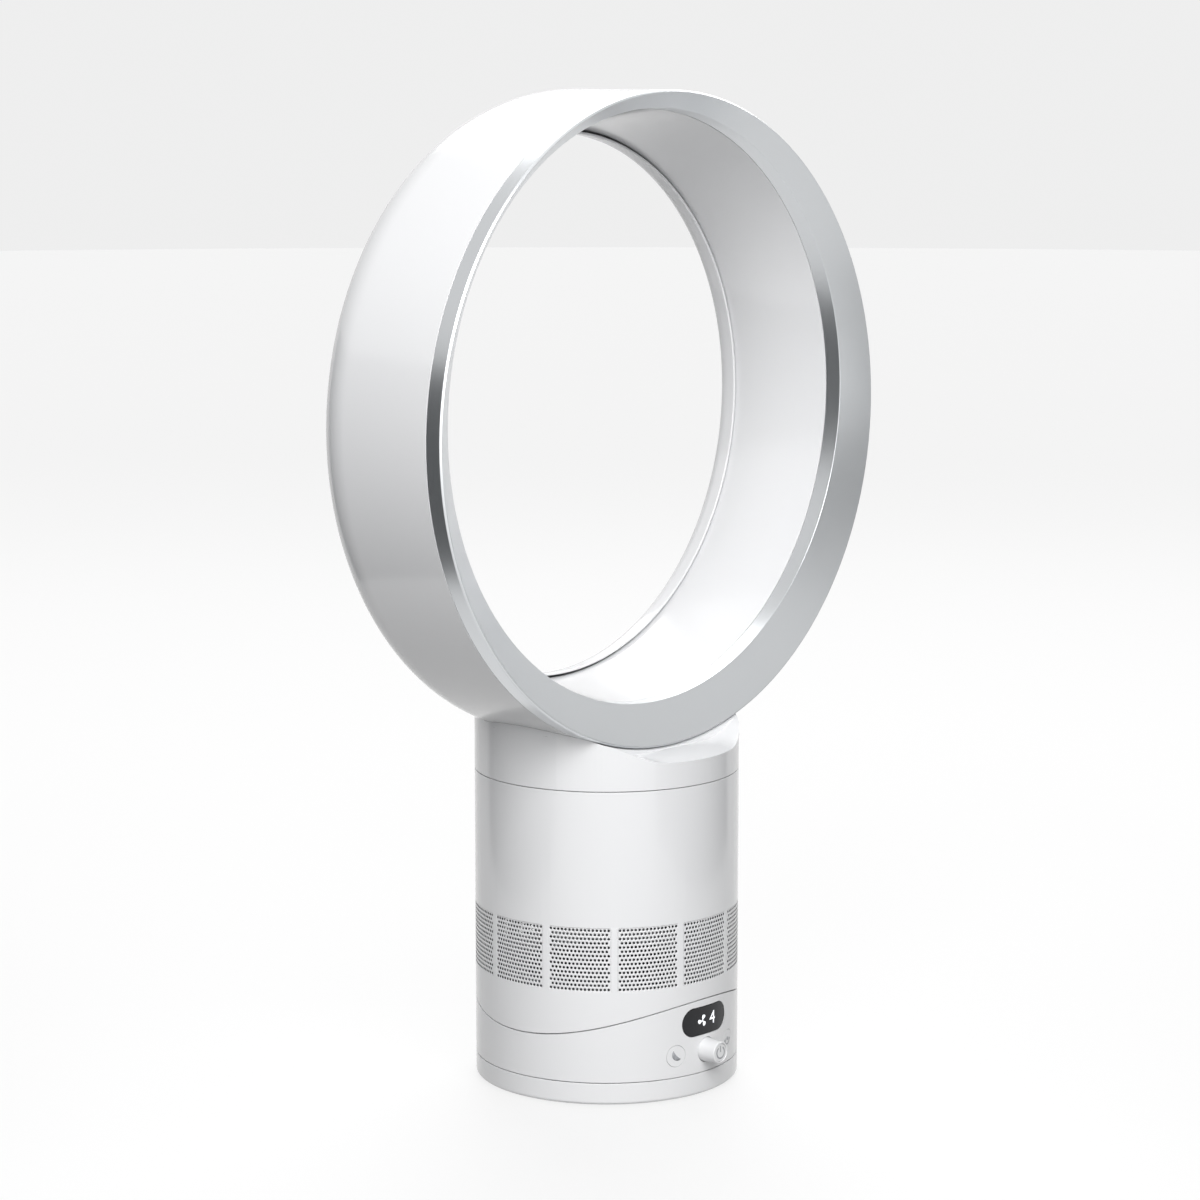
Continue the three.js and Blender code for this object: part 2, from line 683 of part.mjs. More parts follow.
addPiece(tower, "diffuser", greyPlastic, join(
  tube(bucketRadius + clearance, bucketRadius + 1.5, bucketBottom + 2, bucketSplit - 1),
  ...Array.from({ length: diffuserVanes }, (_, i) => curvedVane(
    bucketRadius + 0.8, housingInner - clearance - 0.4, bladeThickness, vaneSweep, 2,
    bucketBottom + 2, bucketSplit - 1,
  ).rotateZ((i / diffuserVanes) * 2 * Math.PI)),
));

const statorBottom = bucketBottom + 5;
const statorTop = statorBottom + 15;
addPiece(tower, "lower_bearing", steel, tube(
  shaftRadius + clearance, bearingRadius, bucketBottom + bucketWall + clearance, statorBottom - 1, smallSides,
));
addPiece(tower, "upper_bearing", steel, tube(
  shaftRadius + clearance, bearingRadius, statorTop + 1, statorTop + 3.5, smallSides,
));
addPiece(tower, "motor_stator", motorSteel, tube(
  rotorRadius + 0.6, bucketInner - clearance - 8, statorBottom, statorTop,
));
addPiece(fan, "motor_rotor", steel, turned([
  [0, impellerBottom + 1], [shaftRadius, impellerBottom + 1], [shaftRadius, statorBottom],
  [rotorRadius, statorBottom], [rotorRadius, statorTop], [shaftRadius, statorTop],
  [shaftRadius, statorTop + 3], [0, statorTop + 3],
], 24));

// ---- Air loop: outer shell with the rounded back and lip, inner shell, silver front trim

// The hole is set higher than the outside: full lift at the hole, none at the outer wall.
function raiseHole(geometry) {
  const place = geometry.attributes.position;
  const point = new THREE.Vector3();
  for (let i = 0; i < place.count; i++) {
    point.fromBufferAttribute(place, i);
    const radius = Math.hypot(point.x, point.z);
    const share = THREE.MathUtils.clamp((loopRadius - loopWall - radius) / (trimFace - loopWall), 0, 1);
    const back = (point.y - trimFaceBack) / (lipFront - trimFaceBack);
    place.setZ(i, point.z + share * THREE.MathUtils.lerp(riseFront, riseRear, back));
  }
  return geometry;
}

// The loop's back, from the outer wall round to the lip; inset moves it towards the hollow.
function backCurve(inset) {
  const outer = loopRadius - inset;
  const rear = loopRear - inset;
  const crown = loopRadius - rearCrownInset;
  const lip = lipRadius + inset;
  const path = new THREE.Path();
  path.moveTo(outer, rearRoundStart);
  path.bezierCurveTo(outer, rearRoundStart + 13, crown + 8, rear, crown, rear);
  path.bezierCurveTo(crown - 5.5, rear, lip, rear - 3, lip, rear - 8.2);
  return path.getPoints(5).map(({ x, y }) => [x, y]);
}

// The loop's outside grown by a gap, without its hole: what the collar is cut by.
function loopEnvelope(grow) {
  const rear = loopRear + grow;
  const back = backCurve(-grow).filter(([radius]) => radius > loopRadius - rearCrownInset);
  const front = loopFront - grow;
  return raiseHole(turnedAboutY([
    [0, front], [loopRadius + grow, front], ...back, [loopRadius - rearCrownInset, rear], [0, rear],
  ], loopSides)).translate(0, 0, loopZ);
}

const shellFront = loopFront + trimBand + clearance;
const lipWall = 1.1;
const shellProfile = [
  [loopRadius, shellFront], ...backCurve(0), [lipRadius, lipFront], [lipRadius + lipWall, lipFront],
  ...backCurve(loopWall).filter(([radius]) => radius > lipRadius + loopWall + 0.1).reverse(),
  [loopRadius - loopWall, shellFront],
];
const spigotTop = -loopRadius + neckHalfX ** 2 / loopRadius;
const spigotSpan = [-loopRadius - neckDrop, spigotTop];
const spigot = cut(
  block([-neckHalfX, neckHalfX], [-neckHalfY, neckHalfY], spigotSpan),
  rodAlongY(loopRadius - loopWall / 2, -neckHalfY - 5, neckHalfY + 5, loopSides),
);
const neckHoleX = neckHalfX - neckWall;
const neckHoleY = neckHalfY - neckWall;
addPiece(loop, "loop_outer_shell", glossWhite, cut(
  join(raiseHole(turnedAboutY(shellProfile, loopSides)), spigot),
  block([-neckHoleX, neckHoleX], [-neckHoleY, neckHoleY], [-loopRadius - neckDrop - 1, spigotTop + 3]),
));

const noseRadius = lipRadius + lipWall + slotGap;
const innerFront = trimBack + clearance;
const flangeOuter = loopRadius - loopWall - 2 * clearance - gasketWidth;
function innerFace() {
  const path = new THREE.Path();
  path.moveTo(apertureRadius - 0.3, innerFront);
  path.bezierCurveTo(apertureRadius - 4, innerFront + 18, noseRadius, lipFront - 16, noseRadius, lipFront);
  path.bezierCurveTo(noseRadius, noseRear - 1, noseRadius + 0.5, noseRear, noseRadius + 1.4, noseRear);
  return path.getPoints(5).map(({ x, y }) => [x, y]);
}
addPiece(loop, "loop_inner_shell", glossWhite, raiseHole(turnedAboutY([
  ...innerFace(),
  [noseRadius + 2.4, noseRear - 1.2], [noseRadius + 2.4, lipFront - 6],
  [apertureRadius + 1.6, innerFront + 4], [apertureRadius + 1.9, innerFront + 2],
  [flangeOuter, innerFront + 2], [flangeOuter, innerFront],
], loopSides)));

addPiece(loop, "loop_gasket", rubber, raiseHole(turnedAboutY([
  [flangeOuter + clearance, innerFront], [flangeOuter + clearance + gasketWidth, innerFront],
  [flangeOuter + clearance + gasketWidth, innerFront + 2], [flangeOuter + clearance, innerFront + 2],
], loopSides)));

addPiece(loop, "loop_front_trim", satinSilver, raiseHole(turnedAboutY([
  [loopRadius, loopFront + trimBand], [loopRadius, loopFront + 0.9], [loopRadius - 0.9, loopFront],
  [apertureRadius, trimFaceBack], [apertureRadius - 0.2, trimBack],
  [apertureRadius + trimWall, trimBack], [apertureRadius + trimWall, trimFaceBack + trimWall],
  [loopRadius - trimWall, loopFront + 2 * trimWall], [loopRadius - trimWall, loopFront + trimBand],
], loopSides)));

// ---- Collar: the tower's top, hollowed to the loop's outside, with the throat for the air

function collarTopCutters(drop) {
  const rim = loopFront - clearance;
  const far = 2 * bodyRadius;
  const frontSlope = (collarFrontRimZ - collarFrontEdgeZ) / (bodyRadius + rim);
  const rearSlope = (collarRearRimZ - collarRearEdgeZ) / (bodyRadius - rearRoundStart);
  const high = loopZ;
  return [
    crossPrism([
      [-far, collarFrontEdgeZ - frontSlope * (far - bodyRadius) - drop], [rim + drop, collarFrontRimZ - drop],
      [rim + drop, high], [-far, high],
    ], far),
    crossPrism([
      [rearRoundStart, collarRearRimZ - drop], [far, collarRearEdgeZ - rearSlope * (far - bodyRadius) - drop],
      [far, high], [rearRoundStart, high],
    ], far),
    loopEnvelope(clearance + drop),
  ];
}

const throatX = neckHalfX + 2 * clearance + neckSealThickness;
const throatY = neckHalfY + 2 * clearance + neckSealThickness;
const throatWall = 2.2;
const throatBottom = loopBottom - neckDrop;
const roughCollarTop = loopBottom + 20;
const collarShell = cut(
  cut(rod(bodyRadius, collarBottom, roughCollarTop, bodySides), ...collarTopCutters(0)),
  cut(rod(bodyInner, collarBottom - 5, roughCollarTop, bodySides), ...collarTopCutters(collarRoof)),
);
const spigotWall = 2;
const spigotRadius = bodyInner - clearance;
const spigotRing = turned([
  [spigotRadius - spigotWall, collarBottom - collarSpigot], [spigotRadius, collarBottom - collarSpigot],
  [spigotRadius, collarBottom], [bodyInner + 1, collarBottom],
  [bodyInner + 1, collarBottom + spigotWall], [spigotRadius - spigotWall, collarBottom + spigotWall],
], bodySides);
const throat = cut(
  block([-throatX - throatWall, throatX + throatWall], [-throatY - throatWall, throatY + throatWall],
    [throatBottom, roughCollarTop]),
  ...collarTopCutters(0).slice(2),
);
addPiece(tower, "collar", glossWhite, cut(
  join(collarShell, spigotRing, throat),
  block([-throatX, throatX], [-throatY, throatY], [throatBottom - 5, roughCollarTop]),
));

addPiece(tower, "neck_seal", rubber, cut(
  block([-throatX + clearance, throatX - clearance], [-throatY + clearance, throatY - clearance],
    [throatBottom + 0.5, throatBottom + 4.5]),
  block([-neckHalfX - clearance, neckHalfX + clearance], [-neckHalfY - clearance, neckHalfY + clearance],
    [throatBottom - 1, throatBottom + 6]),
));

export default fan;
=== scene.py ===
import math

import bmesh
import bpy
from mathutils import Matrix, Vector
from mathutils.geometry import interpolate_bezier


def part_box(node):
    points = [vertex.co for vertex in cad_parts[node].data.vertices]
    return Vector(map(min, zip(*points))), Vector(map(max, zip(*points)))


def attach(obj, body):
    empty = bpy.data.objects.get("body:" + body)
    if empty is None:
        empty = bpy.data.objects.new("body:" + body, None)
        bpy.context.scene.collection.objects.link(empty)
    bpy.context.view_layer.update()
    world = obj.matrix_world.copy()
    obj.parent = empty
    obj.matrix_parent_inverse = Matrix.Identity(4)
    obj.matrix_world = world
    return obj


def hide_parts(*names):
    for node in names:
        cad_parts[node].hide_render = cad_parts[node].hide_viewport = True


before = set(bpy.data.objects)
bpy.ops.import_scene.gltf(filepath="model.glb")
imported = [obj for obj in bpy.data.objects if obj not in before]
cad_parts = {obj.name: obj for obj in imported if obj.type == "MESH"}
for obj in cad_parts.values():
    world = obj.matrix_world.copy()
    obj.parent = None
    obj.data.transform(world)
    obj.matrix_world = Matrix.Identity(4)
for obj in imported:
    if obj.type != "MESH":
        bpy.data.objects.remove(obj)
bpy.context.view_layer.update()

mm = 0.001
full_turn = 2 * math.pi


# ---- Camera: low, in front of the fan and to its left, with a long lens, so that the loop shows
# both its silver face and the depth of its white outer shell.

camera_angle = math.radians(-48.26)
camera_reach = 1.67293
camera = bpy.data.objects.new("camera", bpy.data.cameras.new("camera"))
camera.location = (math.sin(camera_angle) * camera_reach, -math.cos(camera_angle) * camera_reach, 0.49312)
camera.rotation_euler = (math.radians(81.08), 0, camera_angle)
camera.data.lens = 106.69
camera.data.sensor_width = 36
camera.data.shift_x = -0.0056
bpy.context.scene.collection.objects.link(camera)
bpy.context.scene.camera = camera
bpy.context.scene.view_settings.view_transform = "Standard"


# ---- Room: a wide pale floor that glows a little under an even white sky. A wide soft lamp stands in
# front, a key lamp above it, one over the fan and one behind it. Low grey screens at the sides put soft dark bands
# into the white and silver curves.

class Wire:
    """A shader socket that joins in sums: a - b, 1 - a and a * b each add a Math node."""

    def __init__(self, finish, socket):
        self.finish = finish
        self.socket = socket

    def math(self, operation, first, second):
        return self.finish.add("Math", {"operation": operation}, {0: first, 1: second})

    def __add__(self, other):
        return self.math("ADD", self, other)

    def __sub__(self, other):
        return self.math("SUBTRACT", self, other)

    def __rsub__(self, other):
        return self.math("SUBTRACT", other, self)

    def __mul__(self, other):
        return self.math("MULTIPLY", self, other)

    __radd__ = __add__
    __rmul__ = __mul__


class Finish:
    """A material made of one Principled shader and the nodes that vary it over a piece."""

    def __init__(self, name, constants):
        self.material = bpy.data.materials.new(name)
        self.material.use_nodes = True
        self.tree = self.material.node_tree
        self.shader = self.tree.nodes["Principled BSDF"]
        for socket, value in constants.items():
            self.shader.inputs[socket].default_value = value
        self.place = self.add("TexCoord", {}, {}, "Object")

    def add(self, kind, settings, sockets, output=0):
        node = self.tree.nodes.new("ShaderNode" + kind)
        for setting, value in settings.items():
            setattr(node, setting, value)
        for socket, value in sockets.items():
            self.feed(node.inputs[socket], value)
        return Wire(self, node.outputs[output])

    def feed(self, socket, value):
        if isinstance(value, Wire):
            self.tree.links.new(value.socket, socket)
        else:
            socket.default_value = value

    def vary(self, **sockets):
        for socket, value in sockets.items():
            self.feed(self.shader.inputs[socket.replace("_", " ").title()], value)
        return self

    def noise(self, scale, detail=2, place=None):
        return self.add("TexNoise", {}, {"Vector": place or self.place, "Scale": scale, "Detail": detail})

    def blend(self, share, first, second):
        return self.add("Mix", {"data_type": "RGBA"}, {0: share, 6: first, 7: second}, 2)

    def relief(self, height, strength, depth):
        return self.add("Bump", {}, {"Height": height, "Strength": strength, "Distance": depth})


def shown(name, bm, finish):
    """Puts a finished bmesh into the scene as a smooth-shaded object."""
    mesh = bpy.data.meshes.new(name)
    bm.to_mesh(mesh)
    bm.free()
    mesh.shade_smooth()
    mesh.materials.append(finish.material)
    piece = bpy.data.objects.new(name, mesh)
    bpy.context.scene.collection.objects.link(piece)
    return piece


paint = Finish("pale_floor_paint", {
    "Roughness": 0.6, "Specular IOR Level": 0.2, "Emission Strength": 0.78, "Emission Color": (1, 1, 1, 1)})
paint.vary(
    base_color=paint.blend(paint.noise(1.5), (0.11, 0.11, 0.11, 1), (0.12, 0.12, 0.12, 1)),
    normal=paint.relief(paint.noise(220), 0.08, 0.0005),
)
floor = bmesh.new()
bmesh.ops.create_circle(floor, cap_ends=True, segments=96, radius=7)
ground = shown("floor", floor, paint)
ground.visible_diffuse = False

# The sky is white in view and in gloss, and lights matt surfaces by sky_light of that.
sky_light = 0.26
sky_white = 0.86
sky = bpy.data.worlds.new("white_sky")
sky.use_nodes = True
sky_nodes = sky.node_tree.nodes
sky_color = sky_nodes["Background"].inputs["Color"]
sky_ray = sky_nodes.new("ShaderNodeLightPath").outputs["Is Diffuse Ray"]
sky_mix = sky_nodes.new("ShaderNodeMix")
sky_mix.data_type = "RGBA"
sky.node_tree.links.new(sky_ray, sky_mix.inputs[0])
sky_mix.inputs[6].default_value = (sky_white, sky_white, sky_white, 1)
sky_mix.inputs[7].default_value = (sky_light, sky_light, sky_light, 1)
sky.node_tree.links.new(sky_mix.outputs[2], sky_color)
bpy.context.scene.world = sky

fan_middle = Vector((0, 0, 0.24))


def in_room(bearing, reach, height):
    """A place in the room, by its bearing to the right of the camera as the fan sees it."""
    angle = camera_angle + math.radians(bearing)
    return Vector((math.sin(angle) * reach, -math.cos(angle) * reach, height))


def soft_lamp(name, place, width, height, power):
    light = bpy.data.lights.new(name, "AREA")
    light.shape = "RECTANGLE"
    light.size = width
    light.size_y = height
    light.energy = power
    lamp = bpy.data.objects.new(name, light)
    lamp.location = place
    lamp.rotation_euler = (place - fan_middle).to_track_quat("Z", "Y").to_euler()
    lamp.visible_camera = False
    bpy.context.scene.collection.objects.link(lamp)


soft_lamp("front_lamp", in_room(4, 1.7, 0.45), 2.6, 0.9, 8)
soft_lamp("high_lamp", in_room(6, 1.4, 1.3), 1.9, 0.9, 31)
soft_lamp("top_lamp", Vector((0.1, 0.1, 1.9)), 1.4, 1.4, 4)
soft_lamp("back_lamp", in_room(175, 1.4, 1.4), 1.6, 0.8, 22)

felt = Finish("grey_screen_felt", {"Roughness": 0.9})
felt.vary(base_color=felt.blend(felt.noise(30), (0.10, 0.105, 0.11, 1), (0.14, 0.145, 0.15, 1)))


def screen(name, bearing, reach, width, height, lift):
    """An upright screen that faces the fan. It shades and is reflected, and the camera doesn't see it."""
    panel = bmesh.new()
    bmesh.ops.create_grid(panel, x_segments=4, y_segments=4, size=0.5)
    bmesh.ops.scale(panel, vec=(width, height, 1), verts=panel.verts)
    bmesh.ops.rotate(panel, matrix=Matrix.Rotation(math.pi / 2, 3, "X"), verts=panel.verts)
    bmesh.ops.rotate(
        panel, matrix=Matrix.Rotation(camera_angle + math.radians(bearing), 3, "Z"), verts=panel.verts)
    bmesh.ops.translate(panel, vec=in_room(bearing, reach, lift + height / 2), verts=panel.verts)
    board = shown(name, panel, felt)
    board.visible_camera = False


screen("left_screen", -80, 0.4, 0.6, 0.42, 0.01)
screen("right_screen", 52, 0.55, 0.2, 0.8, 0.01)
screen("low_right_screen", 88, 0.42, 0.6, 0.24, 0.01)


# ---- Rubber mat: a soft dark disc, pressed into the underside of the foot, with ring grooves
# moulded into its face so that it grips a desk.

body_radius = 63.3 * mm
mat_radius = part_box("rubber_foot_mat")[1].x
mat_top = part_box("rubber_foot_mat")[1].z


def turned(outline, axis="Z", steps=160):
    """Spins an outline of (radius, height) points round the fan's upright axis, or round Y."""
    bm = bmesh.new()
    upright = axis == "Z"
    points = [bm.verts.new((radius, 0, height) if upright else (radius, height, 0)) for radius, height in outline]
    closed = outline[0][0] > 0 or outline[-1][0] > 0
    for pair in zip(points, points[1:] + points[:1] if closed else points[1:]):
        bm.edges.new(pair)
    bmesh.ops.spin(
        bm, geom=bm.verts[:] + bm.edges[:], axis=(0, 0, 1) if upright else (0, 1, 0), cent=(0, 0, 0),
        angle=full_turn, steps=steps, use_merge=True)
    bmesh.ops.remove_doubles(bm, verts=bm.verts, dist=0.001 * mm)
    bmesh.ops.recalc_face_normals(bm, faces=bm.faces)
    return bm


def softened(piece, width, segments=2, angle=30):
    """Rounds a piece's edges, as its mould does, and lets its large faces lead the shading."""
    bevel = piece.modifiers.new("edge_radius", "BEVEL")
    bevel.width = width
    bevel.segments = segments
    bevel.limit_method = "ANGLE"
    bevel.angle_limit = math.radians(angle)
    bevel.use_clamp_overlap = True
    even = piece.modifiers.new("even_shading", "WEIGHTED_NORMAL")
    even.keep_sharp = True
    return piece


def fitted(piece, body, slot, *nodes):
    """Lets a piece move with a body and hides the CAD nodes it stands for; its material slot is not used."""
    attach(piece, body)
    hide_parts(*nodes)
    return piece


rubber = Finish("black_rubber", {"Roughness": 0.8, "Specular IOR Level": 0.3})
rubber.vary(
    base_color=rubber.blend(rubber.noise(90), (0.028, 0.028, 0.03, 1), (0.05, 0.05, 0.053, 1)),
    roughness=0.72 + rubber.noise(400) * 0.2,
    normal=rubber.relief(rubber.noise(1400, 4), 0.4, 0.05 * mm),
)
groove_depth = 0.5 * mm
mat_outline = [(0, groove_depth), (8 * mm, groove_depth)]
for groove in range(4):
    rib = (12 + groove * 9) * mm
    mat_outline += [(rib, 0), (rib + 4 * mm, 0), (rib + 4.5 * mm, groove_depth), (rib + 8.5 * mm, groove_depth)]
mat_outline = [point for point in mat_outline if point[0] < mat_radius - 4 * mm]
mat_outline += [
    (mat_radius - 3.5 * mm, 0), (mat_radius - 0.6 * mm, 0), (mat_radius, 0.6 * mm), (mat_radius, mat_top), (0, mat_top)]
fitted(softened(shown("grooved_foot_mat", turned(mat_outline), rubber), 0.15 * mm),
       "foot", "rubber", "rubber_foot_mat")


# ---- Foot: a gloss white ABS cup that stands still on the desk while everything above it turns.
# Three wells in its floor take the screws that hold the swivel post.

body_wall = 2.6 * mm
body_inner = body_radius - body_wall
clearance = 0.3 * mm
foot_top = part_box("foot_plate")[1].z
foot_lift = 0.8 * mm
foot_edge = 1.6 * mm
foot_floor_bottom = mat_top + clearance
foot_floor_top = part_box("swivel_gear")[0].z - clearance
foot_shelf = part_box("swivel_bearing_ring")[0].z - clearance
foot_shelf_radius = body_inner - 5.6 * mm
well_radius = 2.4 * mm


def gloss_plastic(name, dark, light):
    """Moulded and polished plastic: almost even in colour, with a faint waviness and handling haze."""
    gloss = Finish(name, {"IOR": 1.5, "Coat Roughness": 0.03})
    haze = gloss.noise(14, 3)
    return gloss.vary(
        base_color=gloss.blend(gloss.noise(9, 1), dark, light),
        roughness=0.13 + haze * 0.10,
        coat_weight=0.25 + haze * 0.1,
        normal=gloss.relief(gloss.noise(420, 1) + gloss.noise(2600, 1) * 0.15, 0.05, 0.06 * mm),
    )


white = gloss_plastic("gloss_white_abs", (0.80, 0.805, 0.82, 1), (0.83, 0.833, 0.84, 1))


def flat_loop(bm, middle, half_size, corner, segments, upright=True):
    """A closed loop of edges: a circle, or one stretched into a rectangle with round corners."""
    made = bmesh.ops.create_circle(bm, segments=segments, radius=corner)["verts"]
    bmesh.ops.rotate(bm, matrix=Matrix.Rotation(math.pi / segments, 3, "Z"), verts=made)
    for vert in made:
        vert.co.x += math.copysign(half_size[0] - corner, vert.co.x) + middle[0]
        vert.co.y += math.copysign(half_size[1] - corner, vert.co.y) + middle[1]
    if upright:
        bmesh.ops.rotate(bm, matrix=Matrix.Rotation(math.pi / 2, 3, "X"), verts=made)


def filled(bm, normal=(0, -1, 0)):
    """Fills the space between the outer loop and the loops inside it."""
    bmesh.ops.triangle_fill(bm, use_beauty=True, use_dissolve=False, edges=bm.edges, normal=normal)
    return bm


def sliced(bm, axis, cuts):
    """Cuts a sheet along a run of parallel lines, so that it can bend smoothly."""
    direction = Vector((0, 0, 0))
    direction[axis] = 1
    for cut in cuts:
        bmesh.ops.bisect_plane(
            bm, geom=bm.verts[:] + bm.edges[:] + bm.faces[:], dist=0.0005 * mm,
            plane_co=direction * cut, plane_no=direction)
    return bm


def spaced(start, end, count):
    return [start + (end - start) * step / count for step in range(count + 1)]


foot_cup = turned([
    (foot_shelf_radius, foot_floor_bottom + 1 * mm), (mat_radius + clearance, foot_floor_bottom + 1 * mm),
    (mat_radius + clearance, foot_lift), (body_radius - foot_edge, foot_lift),
    *[(body_radius - foot_edge * (1 - math.sin(turn)), foot_lift + foot_edge * (1 - math.cos(turn)))
      for turn in spaced(0, math.pi / 2, 6)[1:]],
    (body_radius, foot_top), (body_inner, foot_top), (body_inner, foot_shelf), (foot_shelf_radius, foot_shelf),
])
fitted(softened(shown("foot_cup", foot_cup, white), 0.25 * mm), "foot", "gloss_white", "foot_plate")

foot_floor = bmesh.new()
bmesh.ops.create_circle(foot_floor, segments=96, radius=foot_shelf_radius + 0.4 * mm)
for turn in range(3):
    angle = turn * full_turn / 3 + math.pi / 2
    place = Matrix.Translation((10.8 * mm * math.cos(angle), 10.8 * mm * math.sin(angle), 0))
    bmesh.ops.create_circle(foot_floor, segments=24, radius=well_radius, matrix=place)
filled(foot_floor, (0, 0, 1))
bmesh.ops.translate(foot_floor, vec=(0, 0, foot_floor_bottom), verts=foot_floor.verts)
floor_top = bmesh.ops.extrude_face_region(foot_floor, geom=foot_floor.faces[:], use_keep_orig=True)["geom"]
bmesh.ops.translate(
    foot_floor, vec=(0, 0, foot_floor_top - foot_floor_bottom),
    verts=[part for part in floor_top if isinstance(part, bmesh.types.BMVert)])
bmesh.ops.recalc_face_normals(foot_floor, faces=foot_floor.faces)
foot_floor = softened(shown("foot_floor", foot_floor, white), 0.15 * mm)
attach(foot_floor, "foot")


# ---- Swivel: an acetal post on the foot's floor, held by three screws, with a steel clip on top
# that keeps the control base down, a slide ring at the rim, and the fixed gear that it walks round.

def keep_cad(finish, *nodes):
    """Gives CAD nodes whose shape is right their finish."""
    for node in nodes:
        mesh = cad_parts[node].data
        mesh.materials.clear()
        mesh.materials.append(finish.material)


acetal = Finish("natural_acetal", {"IOR": 1.48})
acetal.vary(
    base_color=acetal.blend(acetal.noise(60), (0.74, 0.72, 0.66, 1), (0.84, 0.82, 0.77, 1)),
    roughness=0.32 + acetal.noise(300) * 0.12,
    normal=acetal.relief(acetal.noise(900, 3), 0.15, 0.04 * mm),
)
keep_cad(acetal, "swivel_post", "swivel_bearing_ring", "swivel_gear", "oscillation_pinion")


def machined_steel(name, dark, light, roughness):
    """Turned or pressed steel, with fine tool lines and a slight cloudiness."""
    steel = Finish(name, {"Metallic": 1})
    lines = steel.noise(1, 2, steel.add("Mapping", {}, {"Vector": steel.place, "Scale": (60, 60, 6000)}))
    return steel.vary(
        base_color=steel.blend(steel.noise(120), dark, light),
        roughness=roughness + lines * 0.15,
        normal=steel.relief(lines, 0.12, 0.02 * mm),
    )


bright_steel = machined_steel("bright_steel", (0.5, 0.51, 0.53, 1), (0.62, 0.63, 0.65, 1), 0.22)
keep_cad(bright_steel, "post_screw_1", "post_screw_2", "post_screw_3", "swivel_clip", "lower_bearing", "upper_bearing")


# ---- Control base: a gloss white ABS casing whose top edge follows the tilt rail. It has holes for
# the display, the dial and two buttons at the front, and for the power inlet at the back.

tilt_radius = 147 * mm
tilt_axis = 179.473 * mm
half_seam = 0.25 * mm
base_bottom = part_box("base_casing")[0].z
control_height = 21.9 * mm
button_offset = math.radians(17.2) * body_radius
button_radius = 5.1 * mm
dial_radius = 5.8 * mm
hairline = 0.16 * mm
display_height = 36.4 * mm
display_half = (15.4 * mm, 6.7 * mm)
inlet_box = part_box("power_inlet")


def rail_height(radius, y):
    """Height of the tilt rail's arc at a distance from the middle of the fan."""
    return tilt_axis - math.sqrt(radius ** 2 - y ** 2)


def depth_at(across):
    """How far forward or back a place on the unrolled wall lies once the wall is rolled up."""
    return -body_radius * math.cos(across / body_radius)


wall_start = -0.375 * full_turn * body_radius
wall_end = 0.625 * full_turn * body_radius
wall_sides = 144


def wall_outline(bm, bottom, top):
    """The unrolled outline of a round wall, with its lower and upper edges at given heights."""
    bmesh.ops.create_grid(bm, x_segments=1, y_segments=1, size=1)
    for vert in bm.verts:
        vert.co = (wall_end if vert.co.x > 0 else wall_start, 0, vert.co.y)
    level = [edge for edge in bm.edges if abs(edge.verts[0].co.z - edge.verts[1].co.z) < 0.5]
    bmesh.ops.subdivide_edges(bm, edges=level, cuts=wall_sides - 1)
    for vert in bm.verts:
        vert.co.z = (top if vert.co.z > 0 else bottom)(vert.co.x)
    bmesh.ops.delete(bm, geom=[edge for edge in bm.edges if not edge.is_boundary], context="EDGES")


def rolled(bm):
    """Slices an unrolled wall and rolls it up round the fan's axis, with +Y of the sheet inwards."""
    sliced(bm, 0, spaced(wall_start, wall_end, wall_sides)[1:-1])
    for vert in bm.verts:
        angle = vert.co.x / body_radius
        reach = body_radius - vert.co.y
        vert.co = (reach * math.sin(angle), -reach * math.cos(angle), vert.co.z)
    bmesh.ops.remove_doubles(bm, verts=bm.verts, dist=0.002 * mm)
    bmesh.ops.recalc_face_normals(bm, faces=bm.faces)
    return bm


def walled(piece, thickness):
    """Gives a sheet its wall, inwards from the face it was drawn on."""
    wall = piece.modifiers.new("wall", "SOLIDIFY")
    wall.thickness = thickness
    wall.offset = -1
    wall.use_even_offset = True
    return piece


base_wall = bmesh.new()
wall_outline(base_wall, lambda x: base_bottom, lambda x: rail_height(tilt_radius + half_seam, depth_at(x)))
flat_loop(base_wall, (0, display_height), (display_half[0] + clearance, display_half[1] + clearance),
          display_half[1] + clearance, 48)
flat_loop(base_wall, (0, control_height), (dial_radius + clearance,) * 2, dial_radius + clearance, 40)
for side in (-1, 1):
    flat_loop(base_wall, (side * button_offset, control_height), (button_radius + hairline,) * 2,
              button_radius + hairline, 40)
inlet_half = (inlet_box[1].x + hairline, (inlet_box[1].z - inlet_box[0].z) / 2 + hairline)
inlet_height = (inlet_box[0].z + inlet_box[1].z) / 2
flat_loop(base_wall, (math.pi * body_radius, inlet_height), inlet_half, 0.6 * mm, 16)
rolled(filled(base_wall))
base_wall = walled(shown("control_base_casing", base_wall, white), body_wall)
fitted(softened(base_wall, 0.2 * mm), "control_base", "gloss_white", "base_casing")

base_floor_top = base_bottom + 2.4 * mm
base_floor = turned([
    (8.8 * mm, base_bottom), (body_inner + 0.3 * mm, base_bottom), (body_inner + 0.3 * mm, base_floor_top),
    (8.8 * mm, base_floor_top)])
base_floor = softened(shown("control_base_floor", base_floor, white), 0.2 * mm)
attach(base_floor, "control_base")


# ---- Tilt cradle: a grey plate at the top of the control base, bent to the tilt rail. Two long
# slots let the tower's hooks through, and the middle slot passes the wires.

def moulded_plastic(name, dark, light, sheen):
    """Plain moulded plastic with the fine spark-eroded grain of its tool."""
    plastic = Finish(name, {"IOR": 1.5})
    grain = plastic.noise(2600, 3)
    return plastic.vary(
        base_color=plastic.blend(plastic.noise(40) * 0.7 + grain * 0.3, dark, light),
        roughness=sheen + grain * 0.2,
        normal=plastic.relief(grain, 0.35, 0.03 * mm),
    )


